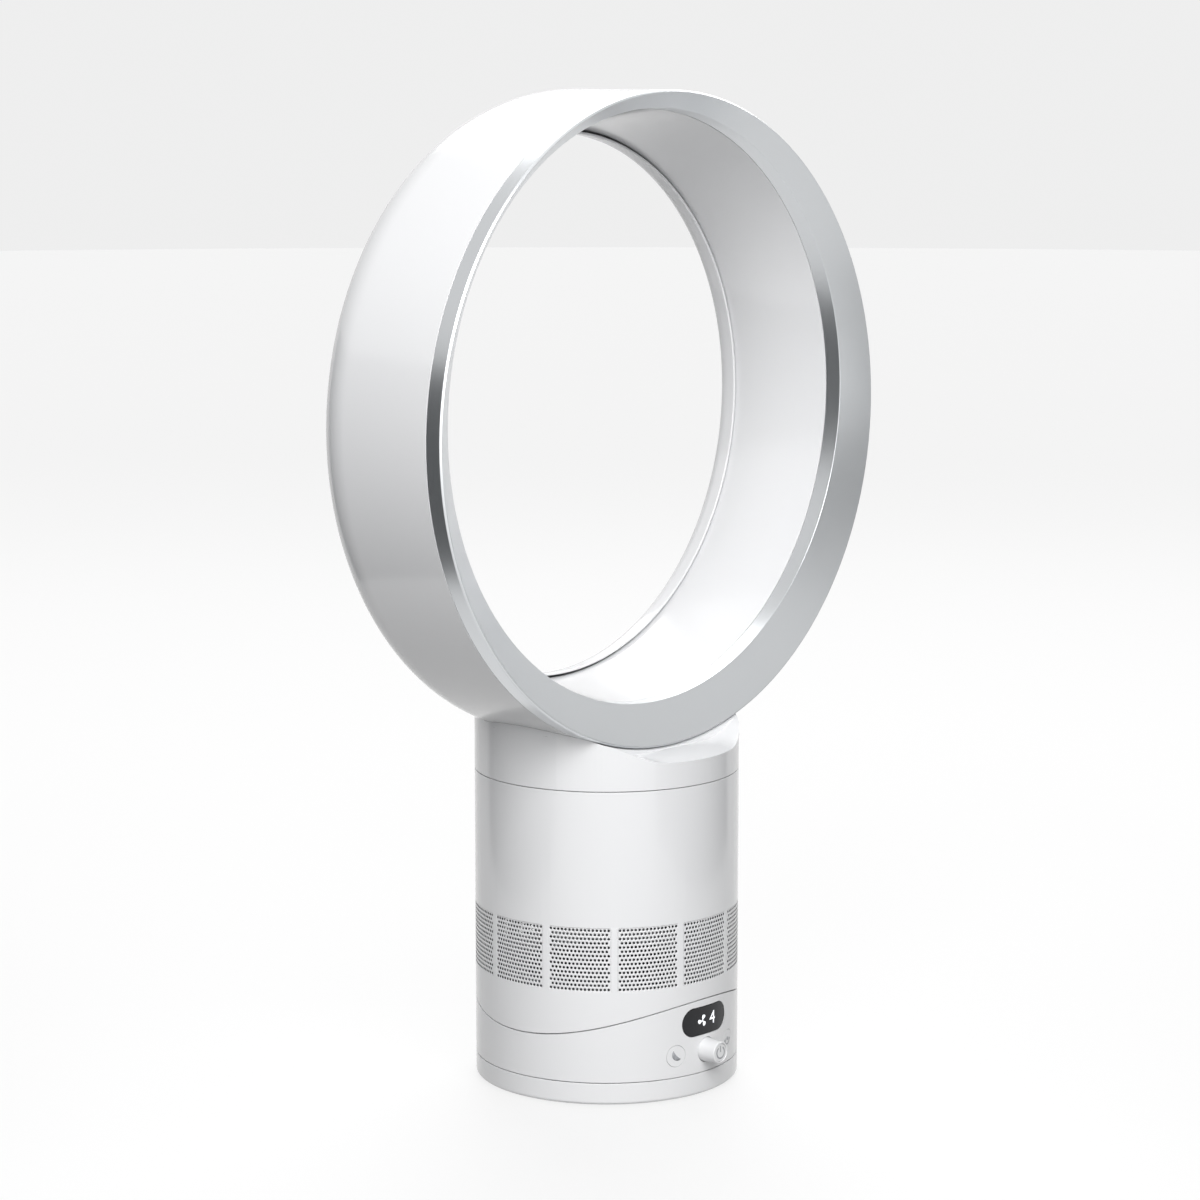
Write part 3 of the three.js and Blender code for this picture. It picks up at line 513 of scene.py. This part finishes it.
grey = moulded_plastic("grey_plastic", (0.36, 0.38, 0.4, 1), (0.44, 0.46, 0.48, 1), 0.36)
plate_radius = body_inner - clearance
plate_thickness = 2.3 * mm
hook_inner = 21.5 * mm
slot_half_length = 35.4 * mm
wire_slot_half = 6 * mm


def rail_plate(radius, outline, slots):
    """A plate bent along the tilt rail: drawn flat, sliced across and lowered onto the arc."""
    bm = bmesh.new()
    if outline is None:
        bmesh.ops.create_circle(bm, segments=120, radius=plate_radius)
    else:
        flat_loop(bm, *outline, 8, upright=False)
    for slot in slots:
        flat_loop(bm, *slot, 16, upright=False)
    filled(bm, (0, 0, 1))
    sliced(bm, 1, spaced(-plate_radius, plate_radius, 60)[1:-1])
    for vert in bm.verts:
        vert.co.z = rail_height(radius, vert.co.y)
    return bm


slot_middle = hook_inner + 1.5 * mm
cradle = rail_plate(tilt_radius + half_seam, None, [
    ((side * slot_middle, 0), (2.1 * mm if side else wire_slot_half, slot_half_length), 1.5 * mm)
    for side in (-1, 0, 1)])
cradle = walled(shown("slotted_cradle", cradle, grey), plate_thickness)
fitted(softened(cradle, 0.2 * mm), "control_base", "grey_plastic", "tilt_cradle")


# ---- Display: a smoked, glossy window set flush in the casing, with a lit fan sign and the speed
# number behind it. The marks are printed in light on its face and follow its curve.

smoked = Finish("smoked_window", {"IOR": 1.45, "Specular IOR Level": 0.42})
smear = smoked.noise(120, 3)
smoked.vary(
    base_color=smoked.blend(smear, (0.006, 0.006, 0.008, 1), (0.014, 0.015, 0.018, 1)),
    roughness=0.05 + smear * 0.07,
    normal=smoked.relief(smoked.noise(300, 1), 0.02, 0.05 * mm),
)
window = bmesh.new()
flat_loop(window, (0, display_height), display_half, display_half[1], 64)
rolled(filled(window))
window = walled(shown("smoked_display_window", window, smoked), 2.2 * mm)
fitted(softened(window, 0.25 * mm, 3), "control_base", "gloss_black", "display_window")


def printed(name, bm, middle, lift, finish, body):
    """Lays a flat mark on the round wall as a thin print, and lets it move with a body."""
    bmesh.ops.triangulate(bm, faces=bm.faces)
    bmesh.ops.translate(bm, vec=(middle[0], -lift, middle[1]), verts=bm.verts)
    rolled(bm)
    mark = shown(name, bm, finish)
    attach(mark, body)
    return walled(mark, 0.03 * mm)


lit = Finish("lit_display_mark", {"Roughness": 0.4, "Emission Strength": 0.75})
glow = lit.noise(1500)
lit.vary(
    base_color=lit.blend(glow, (0.8, 0.82, 0.85, 1), (0.9, 0.92, 0.95, 1)),
    emission_color=lit.blend(glow, (0.86, 0.9, 1, 1), (1, 1, 1, 1)),
)
mark_lift = 0.05 * mm

digit = bpy.data.curves.new("speed_number", "FONT")
digit.body = "4"
digit.size = 9 * mm
digit.align_x = "CENTER"
digit.align_y = "CENTER"
digit = bpy.data.objects.new("speed_number", digit)
number = bmesh.new()
number.from_mesh(bpy.data.meshes.new_from_object(digit))
bpy.data.objects.remove(digit)
bmesh.ops.remove_doubles(number, verts=number.verts, dist=0.001 * mm)
bmesh.ops.rotate(number, matrix=Matrix.Rotation(math.pi / 2, 3, "X"), verts=number.verts)
printed("speed_number", number, (4.4 * mm, display_height), mark_lift, lit, "control_base")

sign = bmesh.new()
for blade in range(3):
    petal = bmesh.ops.create_circle(sign, cap_ends=True, segments=20, radius=1 * mm)["verts"]
    for vert in petal:
        spread = 0.55 + 0.45 * vert.co.y / mm
        vert.co = (vert.co.x * (0.45 + spread) + 0.45 * mm * spread, vert.co.y * 1.15 + 1.75 * mm, 0)
    bmesh.ops.rotate(sign, matrix=Matrix.Rotation(blade * full_turn / 3 - 0.25, 3, "Z"), verts=petal)
bmesh.ops.create_circle(sign, cap_ends=True, segments=16, radius=0.55 * mm)
bmesh.ops.rotate(sign, matrix=Matrix.Rotation(math.pi / 2, 3, "X"), verts=sign.verts)
printed("fan_sign", sign, (-2.9 * mm, display_height), mark_lift, lit, "control_base")


# ---- Buttons: two round caps either side of the dial, flush with the casing and curved like it.
# A grey moon stands for the sleep timer and a double arrow for the swing.

ink = Finish("grey_ink", {"Specular IOR Level": 0.3})
speckle = ink.noise(3000)
ink.vary(
    base_color=ink.blend(speckle, (0.34, 0.35, 0.37, 1), (0.42, 0.43, 0.45, 1)),
    roughness=0.45 + speckle * 0.2,
)
for name, side in (("timer", -1), ("oscillation", 1)):
    cap = bmesh.new()
    flat_loop(cap, (side * button_offset, control_height), (button_radius,) * 2, button_radius, 48)
    rolled(filled(cap))
    cap = walled(shown(name + "_cap", cap, white), 5.4 * mm)
    fitted(softened(cap, 0.25 * mm), name + "_cap", "gloss_white", name + "_button")

moon = bmesh.new()
for vert in bmesh.ops.create_circle(moon, cap_ends=True, segments=48, radius=3 * mm)["verts"]:
    vert.co.x *= -0.24 if vert.co.x > 0 else 1
bmesh.ops.rotate(moon, matrix=Matrix.Rotation(math.radians(43), 3, "Z"), verts=moon.verts)
bmesh.ops.translate(moon, vec=(0.8 * mm, 0.7 * mm, 0), verts=moon.verts)
bmesh.ops.rotate(moon, matrix=Matrix.Rotation(math.pi / 2, 3, "X"), verts=moon.verts)
printed("moon_mark", moon, (-button_offset, control_height), 0.02 * mm, ink, "timer_cap")


def arc_band(bm, inner, outer, start, end, steps=20):
    """A flat curved band, spun from one short edge."""
    ends = [bm.verts.new((radius * math.cos(start), radius * math.sin(start), 0)) for radius in (inner, outer)]
    bmesh.ops.spin(
        bm, geom=[*ends, bm.edges.new(ends)], axis=(0, 0, 1), cent=(0, 0, 0), angle=end - start, steps=steps)


swing = bmesh.new()
arc_band(swing, 2.4 * mm, 3.0 * mm, math.radians(200), math.radians(340))
for side in (-1, 1):
    tip = bmesh.ops.create_circle(swing, cap_ends=True, segments=3, radius=1.2 * mm)["verts"]
    bmesh.ops.rotate(swing, matrix=Matrix.Rotation(math.radians(25) * side, 3, "Z"), verts=tip)
    bmesh.ops.translate(swing, vec=(side * 2.5 * mm, -0.55 * mm, 0), verts=tip)
bmesh.ops.create_circle(swing, cap_ends=True, segments=20, radius=0.95 * mm)
bmesh.ops.rotate(swing, matrix=Matrix.Rotation(math.pi / 2, 3, "X"), verts=swing.verts)
printed("swing_mark", swing, (button_offset, control_height + 0.8 * mm), 0.02 * mm, ink, "oscillation_cap")


# ---- Airflow dial: a tapered white knob that turns without end, with the power button in its end
# face. Its stem goes through the casing to the encoder behind.

dial_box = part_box("airflow_dial")
power_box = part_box("power_button")
dial_end = dial_box[0].y
dial_end_radius = 5.2 * mm
power_radius = 4.2 * mm
dial_root = dial_box[1].y
bore_end = power_box[1].y + 1 * mm + clearance
dial = turned([
    (0, dial_root), (3 * mm, dial_root), (3 * mm, dial_root - 1.3 * mm), (dial_radius, dial_root - 1.3 * mm),
    (dial_radius, -body_radius - 0.4 * mm), (dial_radius - 0.12 * mm, -body_radius - 2.5 * mm),
    (dial_end_radius, dial_end + 0.35 * mm), (dial_end_radius - 0.35 * mm, dial_end),
    (power_radius + 0.08 * mm, dial_end), (power_radius + 0.08 * mm, bore_end), (0, bore_end),
], "Y", 96)
bmesh.ops.translate(dial, vec=(0, 0, control_height), verts=dial.verts)
fitted(softened(shown("knob", dial, white), 0.3 * mm, 3), "dial", "gloss_white", "airflow_dial")

power = turned([
    (0, power_box[0].y), (power_radius, power_box[0].y), (power_radius, power_box[1].y), (0, power_box[1].y),
], "Y", 64)
bmesh.ops.translate(power, vec=(0, 0, control_height), verts=power.verts)
fitted(softened(shown("power_key", power, white), 0.3 * mm, 3), "power_cap", "gloss_white", "power_button")

power_sign = bmesh.new()
arc_band(power_sign, 2.35 * mm, 3.05 * mm, math.radians(122), math.radians(418), 36)
stroke = bmesh.ops.create_grid(power_sign, x_segments=1, y_segments=4, size=1)["verts"]
bmesh.ops.scale(power_sign, vec=(0.34 * mm, 1.5 * mm, 1), verts=stroke)
bmesh.ops.translate(power_sign, vec=(0, 1.75 * mm, 0), verts=stroke)
bmesh.ops.rotate(power_sign, matrix=Matrix.Rotation(math.pi / 2, 3, "X"), verts=power_sign.verts)
bmesh.ops.translate(power_sign, vec=(0, power_box[0].y - 0.03 * mm, control_height), verts=power_sign.verts)
bmesh.ops.recalc_face_normals(power_sign, faces=power_sign.faces)
power_sign = walled(shown("power_sign", power_sign, ink), 0.02 * mm)
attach(power_sign, "power_cap")


# ---- Base electronics and drive: lacquered boards, two push switches, the dial's encoder, the
# swing motor with its pinion, and the black inlet that the power lead plugs into.

lacquer = Finish("green_lacquered_board", {"IOR": 1.5, "Coat Weight": 0.5, "Coat Roughness": 0.1})
tracks = lacquer.add(
    "TexBrick", {"offset": 0.4}, {
        "Vector": lacquer.add("Mapping", {}, {"Vector": lacquer.place, "Rotation": (0.6, 0.4, 0)}),
        "Color1": (0, 0, 0, 1), "Color2": (0.3, 0.3, 0.3, 1), "Mortar": (1, 1, 1, 1), "Scale": 260.0,
        "Mortar Size": 0.06}, 0)
lacquer.vary(
    base_color=lacquer.blend(tracks, (0.012, 0.1, 0.045, 1), (0.06, 0.26, 0.13, 1)),
    roughness=0.3 + lacquer.noise(700) * 0.15,
    normal=lacquer.relief(tracks, 0.3, 0.03 * mm),
)
keep_cad(lacquer, "display_board", "button_board", "control_board", "motor_board")

# Black for the real black plastic parts. The inlet panels also take it on their hole walls and backs as painted shade.
black = moulded_plastic("black_plastic_and_painted_hole_shade", (0.02, 0.021, 0.024, 1), (0.035, 0.036, 0.04, 1), 0.38)
keep_cad(black, "dial_encoder", "timer_switch", "oscillation_switch")

motor_steel = machined_steel("motor_steel", (0.3, 0.31, 0.33, 1), (0.42, 0.43, 0.45, 1), 0.32)
keep_cad(motor_steel, "oscillation_motor", "motor_stator", "motor_rotor")

socket = bmesh.new()
well_half = (5 * mm, 3 * mm)
flat_loop(socket, (0, inlet_height), (inlet_box[1].x, (inlet_box[1].z - inlet_box[0].z) / 2), 0.6 * mm, 16)
flat_loop(socket, (0, inlet_height), well_half, 2.2 * mm, 24)
filled(socket, (0, 1, 0))
sliced(socket, 0, spaced(-8 * mm, 8 * mm, 12)[1:-1])
for vert in socket.verts:
    vert.co.y = math.sqrt(body_radius ** 2 - vert.co.x ** 2)
socket = walled(shown("inlet_face", socket, black), 9.5 * mm)
fitted(softened(socket, 0.2 * mm), "control_base", "dark_plastic", "power_inlet")
socket_back = bmesh.new()
flat_loop(socket_back, (0, inlet_height), (6 * mm, 4 * mm), 1 * mm, 16)
filled(socket_back, (0, 1, 0))
bmesh.ops.translate(socket_back, vec=(0, inlet_box[0].y + 2.5 * mm, 0), verts=socket_back.verts)
socket_back = walled(shown("inlet_back", socket_back, black), 2.2 * mm)
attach(socket_back, "control_base")
contacts = bmesh.new()
for side in (-1, 1):
    pin = bmesh.ops.create_circle(contacts, cap_ends=True, segments=20, radius=0.8 * mm)["verts"]
    bmesh.ops.rotate(contacts, matrix=Matrix.Rotation(math.pi / 2, 3, "X"), verts=pin)
    bmesh.ops.translate(contacts, vec=(side * 2.1 * mm, inlet_box[0].y + 2.4 * mm, inlet_height), verts=pin)
contacts = walled(shown("inlet_contacts", contacts, bright_steel), 5.6 * mm)
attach(softened(contacts, 0.25 * mm), "control_base")


# ---- Tilt shoe: the tower's curved floor, which slides on the cradle. Its two hooks reach down
# through the slots and hold the tower on at every angle.

shoe_radius = tilt_radius - half_seam
hook_top = tilt_radius + half_seam + plate_thickness + clearance
shoe = walled(shown("sliding_shoe", rail_plate(
    shoe_radius - plate_thickness, None, [((0, 0), (wire_slot_half, wire_slot_half), 1.5 * mm)]), grey), plate_thickness)
fitted(softened(shoe, 0.2 * mm), "tower", "grey_plastic", "tilt_shoe")
for name, side in (("left", -1), ("right", 1)):
    arm = rail_plate(shoe_radius - 1 * mm, ((side * slot_middle, 0), (1.5 * mm, 8 * mm), 0.3 * mm), [])
    arm = walled(shown(name + "_hook_arm", arm, grey), hook_top + 1 * mm - shoe_radius + 1 * mm)
    toe = rail_plate(hook_top, ((side * (hook_inner + 3.75 * mm), 0), (3.75 * mm, 8 * mm), 0.3 * mm), [])
    toe = walled(shown(name + "_hook_toe", toe, grey), 2 * mm)
    for part in (arm, toe):
        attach(softened(part, 0.15 * mm), "tower")


# ---- Tower casing: a gloss white ABS tube with twelve windows for the inlet panels. Its lower
# edge follows the tilt rail and its upper edge meets the collar.

window_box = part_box("inlet_grille")
inlet_middle = (window_box[0].z + window_box[1].z) / 2
panel_count = 12
panel_pitch = full_turn / panel_count * body_radius
window_half = (panel_pitch / 2 - 1.65 * mm, 15.25 * mm)
casing_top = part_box("main_casing")[1].z
casing = bmesh.new()
wall_outline(casing, lambda x: rail_height(shoe_radius, depth_at(x)), lambda x: casing_top)
for panel in range(-4, 8):
    flat_loop(casing, (panel * panel_pitch, inlet_middle), window_half, 0.5 * mm, 16)
rolled(filled(casing))
casing = walled(shown("tower_casing", casing, white), body_wall)
fitted(softened(casing, 0.2 * mm), "tower", "gloss_white", "main_casing")


# ---- Inlet panels: twelve curved white panels on one ring, clipped in from behind. Each is pierced
# with fifteen staggered rows of fine round holes that the fan draws its air through.

hole_radius = 0.61 * mm
hole_columns = 16
hole_rows = 15
hair = 0.06 * mm
panel_half = (window_half[0] - hair, window_half[1] - hair)
panel = bmesh.new()
bmesh.ops.create_grid(panel, x_segments=2 * hole_columns, y_segments=hole_rows, size=1)
staggered = []
for edge in panel.edges:
    low_end, high_end = (vert.co for vert in edge.verts)
    if abs(low_end.x - high_end.x) < 0.001 and len(edge.link_faces) == 2:
        column = round((low_end.x + 1) * hole_columns)
        row = math.floor((low_end.y + high_end.y + 2) * hole_rows / 4)
        if (column + row) % 2 == 1:
            staggered.append(edge)
bmesh.ops.dissolve_edges(panel, edges=staggered, use_verts=False)
for vert in panel.verts:
    vert.co = (vert.co.x * panel_half[0], 0, inlet_middle + vert.co.y * panel_half[1])
holes = [face for face in panel.faces if len(face.verts) == 6]
bmesh.ops.inset_individual(panel, faces=holes, thickness=0.35 * mm, use_even_offset=True)
bmesh.ops.subdivide_edges(panel, edges=list({edge for face in holes for edge in face.edges}), cuts=1)
for face in holes:
    middle = face.calc_center_bounds()
    first = face.verts[0].co - middle
    second = face.verts[1].co - middle
    way = 1 if first.x * second.z - first.z * second.x > 0 else -1
    start = math.atan2(first.z, first.x)
    for step, vert in enumerate(face.verts):
        angle = start + way * step * full_turn / len(face.verts)
        vert.co = middle + Vector((math.cos(angle), 0, math.sin(angle))) * hole_radius
bmesh.ops.delete(panel, geom=holes, context="FACES_ONLY")
bmesh.ops.delete(panel, geom=[edge for edge in panel.edges if edge.is_wire], context="EDGES")
rim = [edge for edge in panel.edges if edge.is_boundary and all(
    abs(abs(vert.co.x) - panel_half[0]) < hair or abs(abs(vert.co.z - inlet_middle) - panel_half[1]) < hair
    for vert in edge.verts)]
flange = bmesh.ops.extrude_edge_only(panel, edges=rim)["geom"]
bmesh.ops.translate(
    panel, vec=(0, 2.8 * mm, 0), verts=[part for part in flange if isinstance(part, bmesh.types.BMVert)])
bmesh.ops.translate(panel, vec=(-4 * panel_pitch, 0.05 * mm, 0), verts=panel.verts)
pattern = panel.verts[:] + panel.edges[:] + panel.faces[:]
for step in range(1, panel_count):
    copied = bmesh.ops.duplicate(panel, geom=pattern)["geom"]
    bmesh.ops.translate(
        panel, vec=(step * panel_pitch, 0, 0), verts=[part for part in copied if isinstance(part, bmesh.types.BMVert)])
for vert in panel.verts:
    angle = vert.co.x / body_radius
    reach = body_radius - vert.co.y
    vert.co = (reach * math.sin(angle), -reach * math.cos(angle), vert.co.z)
bmesh.ops.recalc_face_normals(panel, faces=panel.faces)
grille = walled(shown("pierced_inlet_panels", panel, white), 0.45 * mm)
# The back and the hole walls of the panels are painted black: painted shade that makes the fine holes look dark and
# deep.
grille.data.materials.append(black.material)
grille.modifiers["wall"].material_offset = 1
grille.modifiers["wall"].material_offset_rim = 1
grille.data.set_sharp_from_angle(angle=math.radians(40))
fitted(grille, "tower", "gloss_white", "inlet_grille")
for name, low in (("lower", window_box[0].z), ("upper", window_box[1].z - 3.2 * mm)):
    band = turned([
        (plate_radius - 1.2 * mm, low), (plate_radius, low), (plate_radius, low + 3.2 * mm),
        (plate_radius - 1.2 * mm, low + 3.2 * mm)])
    band = softened(shown(name + "_inlet_band", band, white), 0.2 * mm)
    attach(band, "tower")


# ---- Air mover: a mixed-flow impeller and its motor in a sealed bucket, hung in the housing on
# rubber bushes, with a foam disc, a bell mouth and a ring of vanes that straighten the flow.

keep_cad(grey, "impeller_housing", "inlet_bell", "motor_bucket_lower", "motor_bucket_cap", "diffuser", "impeller")
keep_cad(rubber, "housing_seal", "isolator_mount_1", "isolator_mount_2", "isolator_mount_3", "neck_seal", "loop_gasket")
foam = Finish("acoustic_foam", {"Roughness": 0.95, "Specular IOR Level": 0.1})
pores = foam.add("TexVoronoi", {}, {"Vector": foam.place, "Scale": 900.0})
foam.vary(
    base_color=foam.blend(pores, (0.03, 0.03, 0.033, 1), (0.12, 0.12, 0.13, 1)),
    normal=foam.relief(pores, 0.9, 0.4 * mm),
)
keep_cad(foam, "silencing_foam")


# ---- Loop outer shell: a deep gloss white ring that curls round at the back into a thin lip. The
# air leaves through the narrow slot in front of that lip, all the way round.

loop_radius = 153 * mm
loop_height = 318.4 * mm
loop_wall = 2 * mm
loop_front = -40.2 * mm
trim_band = 9 * mm
trim_face = 14.1 * mm
trim_face_back = loop_front + 9.4 * mm
trim_back = trim_face_back + 8.4 * mm
rear_round_start = 20 * mm
loop_rear = 41.4 * mm
crown_radius = loop_radius - 14.5 * mm
lip_radius = loop_radius - 24 * mm
lip_front = 29 * mm
lip_wall = 1.1 * mm
rise_front = 5.9 * mm
rise_rear = 3.2 * mm
shell_front = loop_front + trim_band + clearance


def hole_rise(radius, y):
    """How far the loop is lifted at a radius: its hole sits higher than its outside."""
    share = min(max((loop_radius - loop_wall - radius) / (trim_face - loop_wall), 0), 1)
    back = (y - trim_face_back) / (lip_front - trim_face_back)
    return share * (rise_front + (rise_rear - rise_front) * back)


def loop_ring(outline):
    """Spins an outline round the loop's level axis, lifts its hole, and puts it on the tower."""
    bm = turned(outline, "Y", 200)
    for vert in bm.verts:
        vert.co.z += hole_rise(math.hypot(vert.co.x, vert.co.z), vert.co.y) + loop_height
    return bm


def curve_through(start, leave, arrive, end, count=14):
    """Points of one smooth stretch of an outline, from its ends and the two handles between them."""
    knots = [Vector((*point, 0)) for point in (start, leave, arrive, end)]
    return [(point.x, point.y) for point in interpolate_bezier(*knots, count)]


def rear_curl(inset):
    """The shell's back, from the outer wall round to the lip; inset moves it towards the hollow."""
    outer = loop_radius - inset
    rear = loop_rear - inset
    lip = lip_radius + inset
    round_back = curve_through(
        (outer, rear_round_start), (outer, rear_round_start + 13 * mm), (crown_radius + 8 * mm, rear),
        (crown_radius, rear))
    return round_back + curve_through(
        (crown_radius, rear), (crown_radius - 5.5 * mm, rear), (lip, rear - 3 * mm), (lip, rear - 8.2 * mm))[1:]


inside_curl = [point for point in rear_curl(loop_wall) if point[0] > lip_radius + loop_wall + 0.1 * mm]
outer_shell = loop_ring([
    (loop_radius, shell_front), *rear_curl(0), (lip_radius, lip_front + 0.4 * mm),
    (lip_radius + 0.35 * mm, lip_front), (lip_radius + lip_wall, lip_front),
    *reversed(inside_curl), (loop_radius - loop_wall, shell_front)])
fitted(softened(shown("white_outer_loop", outer_shell, white), 0.15 * mm), "tower", "gloss_white", "loop_outer_shell")

neck_half = (36 * mm, 22 * mm)
neck_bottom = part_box("loop_outer_shell")[0].z
neck = bmesh.new()
flat_loop(neck, (0, 0), (neck_half[0] - 0.8 * mm, neck_half[1] - 0.8 * mm), 3 * mm, 32, upright=False)
bmesh.ops.translate(neck, vec=(0, 0, neck_bottom), verts=neck.verts)
for side in (0, 1):
    cuts = [neck_half[side] * share for share in spaced(-0.9, 0.9, 12)]
    direction = Vector((side == 0, side == 1, 0))
    for cut in cuts:
        bmesh.ops.bisect_plane(
            neck, geom=neck.verts[:] + neck.edges[:], dist=0.001 * mm, plane_co=direction * cut, plane_no=direction)
neck_top = bmesh.ops.extrude_edge_only(neck, edges=neck.edges[:])["geom"]
for part in neck_top:
    if isinstance(part, bmesh.types.BMVert):
        part.co.z = loop_height - math.sqrt((loop_radius - 1 * mm) ** 2 - part.co.x ** 2)
bmesh.ops.recalc_face_normals(neck, faces=neck.faces)
neck = walled(shown("loop_neck", neck, white), 1.6 * mm)
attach(neck, "tower")


# ---- Loop inner shell: the white surface that the air runs over. It narrows gently from the front
# trim to the slot, and its rear edge tucks in behind the outer shell's lip.

aperture_radius = loop_radius - trim_face
nose_radius = lip_radius + lip_wall + 1.2 * mm
nose_rear = 32.6 * mm
inner_front = trim_back + clearance
flange_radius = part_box("loop_inner_shell")[1].x
inner_shell = loop_ring([
    *curve_through(
        (aperture_radius - 0.3 * mm, inner_front), (aperture_radius - 4 * mm, inner_front + 18 * mm),
        (nose_radius, lip_front - 16 * mm), (nose_radius, lip_front), 24),
    *curve_through(
        (nose_radius, lip_front), (nose_radius, nose_rear - 1 * mm), (nose_radius + 0.5 * mm, nose_rear),
        (nose_radius + 1.4 * mm, nose_rear), 6)[1:],
    (nose_radius + 2.4 * mm, nose_rear - 1.2 * mm), (nose_radius + 2.4 * mm, lip_front - 6 * mm),
    (aperture_radius + 1.6 * mm, inner_front + 4 * mm), (aperture_radius + 1.9 * mm, inner_front + 2 * mm),
    (flange_radius, inner_front + 2 * mm), (flange_radius, inner_front)])
fitted(softened(shown("white_inner_loop", inner_shell, white), 0.15 * mm), "tower", "gloss_white", "loop_inner_shell")


# ---- Loop front trim: a ring painted satin silver, with a band outside, a sloping face and a band
# inside. A polished chamfer runs round its front edge. It snaps onto both shells.

silver = Finish("satin_silver_paint", {"Metallic": 1, "IOR": 1.5, "Coat Roughness": 0.12})
flake = silver.noise(5200, 2)
cloud = silver.noise(22, 3)
silver.vary(
    base_color=silver.blend(flake * 0.6 + cloud * 0.4, (0.60, 0.62, 0.635, 1), (0.70, 0.715, 0.73, 1)),
    roughness=0.25 + flake * 0.06 + cloud * 0.05,
    coat_weight=0.15 + cloud * 0.1,
    normal=silver.relief(flake, 0.06, 0.02 * mm),
)
trim_wall = 1.6 * mm
chamfer = 0.9 * mm
trim = loop_ring([
    (loop_radius, loop_front + trim_band), (loop_radius, loop_front + chamfer), (loop_radius - chamfer, loop_front),
    (aperture_radius, trim_face_back), (aperture_radius - 0.2 * mm, trim_back),
    (aperture_radius + trim_wall, trim_back), (aperture_radius + trim_wall, trim_face_back + trim_wall),
    (loop_radius - trim_wall, loop_front + 2 * trim_wall), (loop_radius - trim_wall, loop_front + trim_band)])
fitted(softened(shown("silver_front_trim", trim, silver), 0.18 * mm), "tower", "satin_silver", "loop_front_trim")


# ---- Collar: the white top of the tower, hollowed to the loop's outside so that the loop looks
# sunk into it. It has a ledge in front of the loop and a sloping shoulder behind.

collar_bottom = casing_top + 0.5 * mm
collar_roof = 2.4 * mm
ledge_end = loop_front - clearance
ledge_heights = (162.5 * mm, 164.4 * mm)
ledge_half = math.sqrt(body_radius ** 2 - ledge_end ** 2)
ledge_flat = 0.45 * ledge_half
shoulder_heights = (172.5 * mm, 178.5 * mm)
throat_half = (37.6 * mm, 23.6 * mm)
rear_profile = rear_curl(-0.05 * mm)


def seat_height(x, y):
    """Height of the hollow that the loop sits in; its gap opens into a shadow line at the front."""
    front_share = min(max((ledge_end + 4 * mm - y) / (4 * mm), 0), 1)
    radius = loop_radius + (0.05 + 0.6 * front_share) * mm
    if y > rear_round_start:
        behind = [near for near in rear_profile if near[1] <= y and near[0] > crown_radius]
        ahead = [far for far in rear_profile if far[1] > y and far[0] > crown_radius]
        if not ahead:
            return math.inf
        near, far = behind[-1], ahead[0]
        radius = near[0] + (far[0] - near[0]) * (y - near[1]) / (far[1] - near[1])
    return loop_height + hole_rise(radius, y) - math.sqrt(radius ** 2 - x ** 2)


def collar_height(x, y):
    """Height of the collar's top: the ledge, which sweeps up at its ends, then the hollow or the shoulder."""
    if y < ledge_end:
        rise = (y + body_radius) / (ledge_end + body_radius)
        ledge = ledge_heights[0] + (ledge_heights[1] - ledge_heights[0]) * rise
        sweep = min(max((abs(x) - ledge_flat) / (ledge_half - ledge_flat), 0), 1)
        return ledge + (seat_height(x, ledge_end) - ledge) * sweep ** 2 * (3 - 2 * sweep)
    shoulder = shoulder_heights[1] + (shoulder_heights[0] - shoulder_heights[1]) * (
        (y - rear_round_start) / (body_radius - rear_round_start))
    return min(shoulder if y > rear_round_start else math.inf, seat_height(x, y))


collar = bmesh.new()
bmesh.ops.create_circle(collar, segments=144, radius=body_radius)
flat_loop(collar, (0, 0), throat_half, 3 * mm, 32, upright=False)
filled(collar, (0, 0, 1))
sliced(collar, 0, spaced(-body_radius, body_radius, 48)[1:-1])
step_width = 0.03 * mm
sliced(collar, 1, [*spaced(-body_radius, ledge_end - step_width, 8)[1:], ledge_end,
                   *spaced(ledge_end, rear_round_start, 16)[1:], *spaced(rear_round_start, 43 * mm, 24)[1:],
                   *spaced(43 * mm, body_radius, 8)[1:-1]])
for vert in collar.verts:
    y = vert.co.y
    if ledge_end - step_width / 2 > y > ledge_end - 2 * step_width:
        y = ledge_end - step_width
    elif abs(y - ledge_end) < step_width / 2:
        y = ledge_end
    vert.co.z = collar_height(vert.co.x, y)
rims = [edge for edge in collar.edges if edge.is_boundary]
skirt = bmesh.ops.extrude_edge_only(collar, edges=rims)["geom"]
for part in skirt:
    if isinstance(part, bmesh.types.BMVert):
        part.co.z = collar_bottom if part.co.xy.length > body_radius - 1 * mm else neck_bottom
bmesh.ops.recalc_face_normals(collar, faces=collar.faces)
collar = walled(shown("tower_collar", collar, white), collar_roof)
fitted(softened(collar, 0.2 * mm, 3), "tower", "gloss_white", "collar")
spigot = turned([
    (plate_radius - 2 * mm, collar_bottom - 5 * mm), (plate_radius, collar_bottom - 5 * mm),
    (plate_radius, collar_bottom + 2 * mm), (plate_radius - 2 * mm, collar_bottom + 2 * mm)])
spigot = softened(shown("collar_spigot", spigot, white), 0.2 * mm)
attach(spigot, "tower")
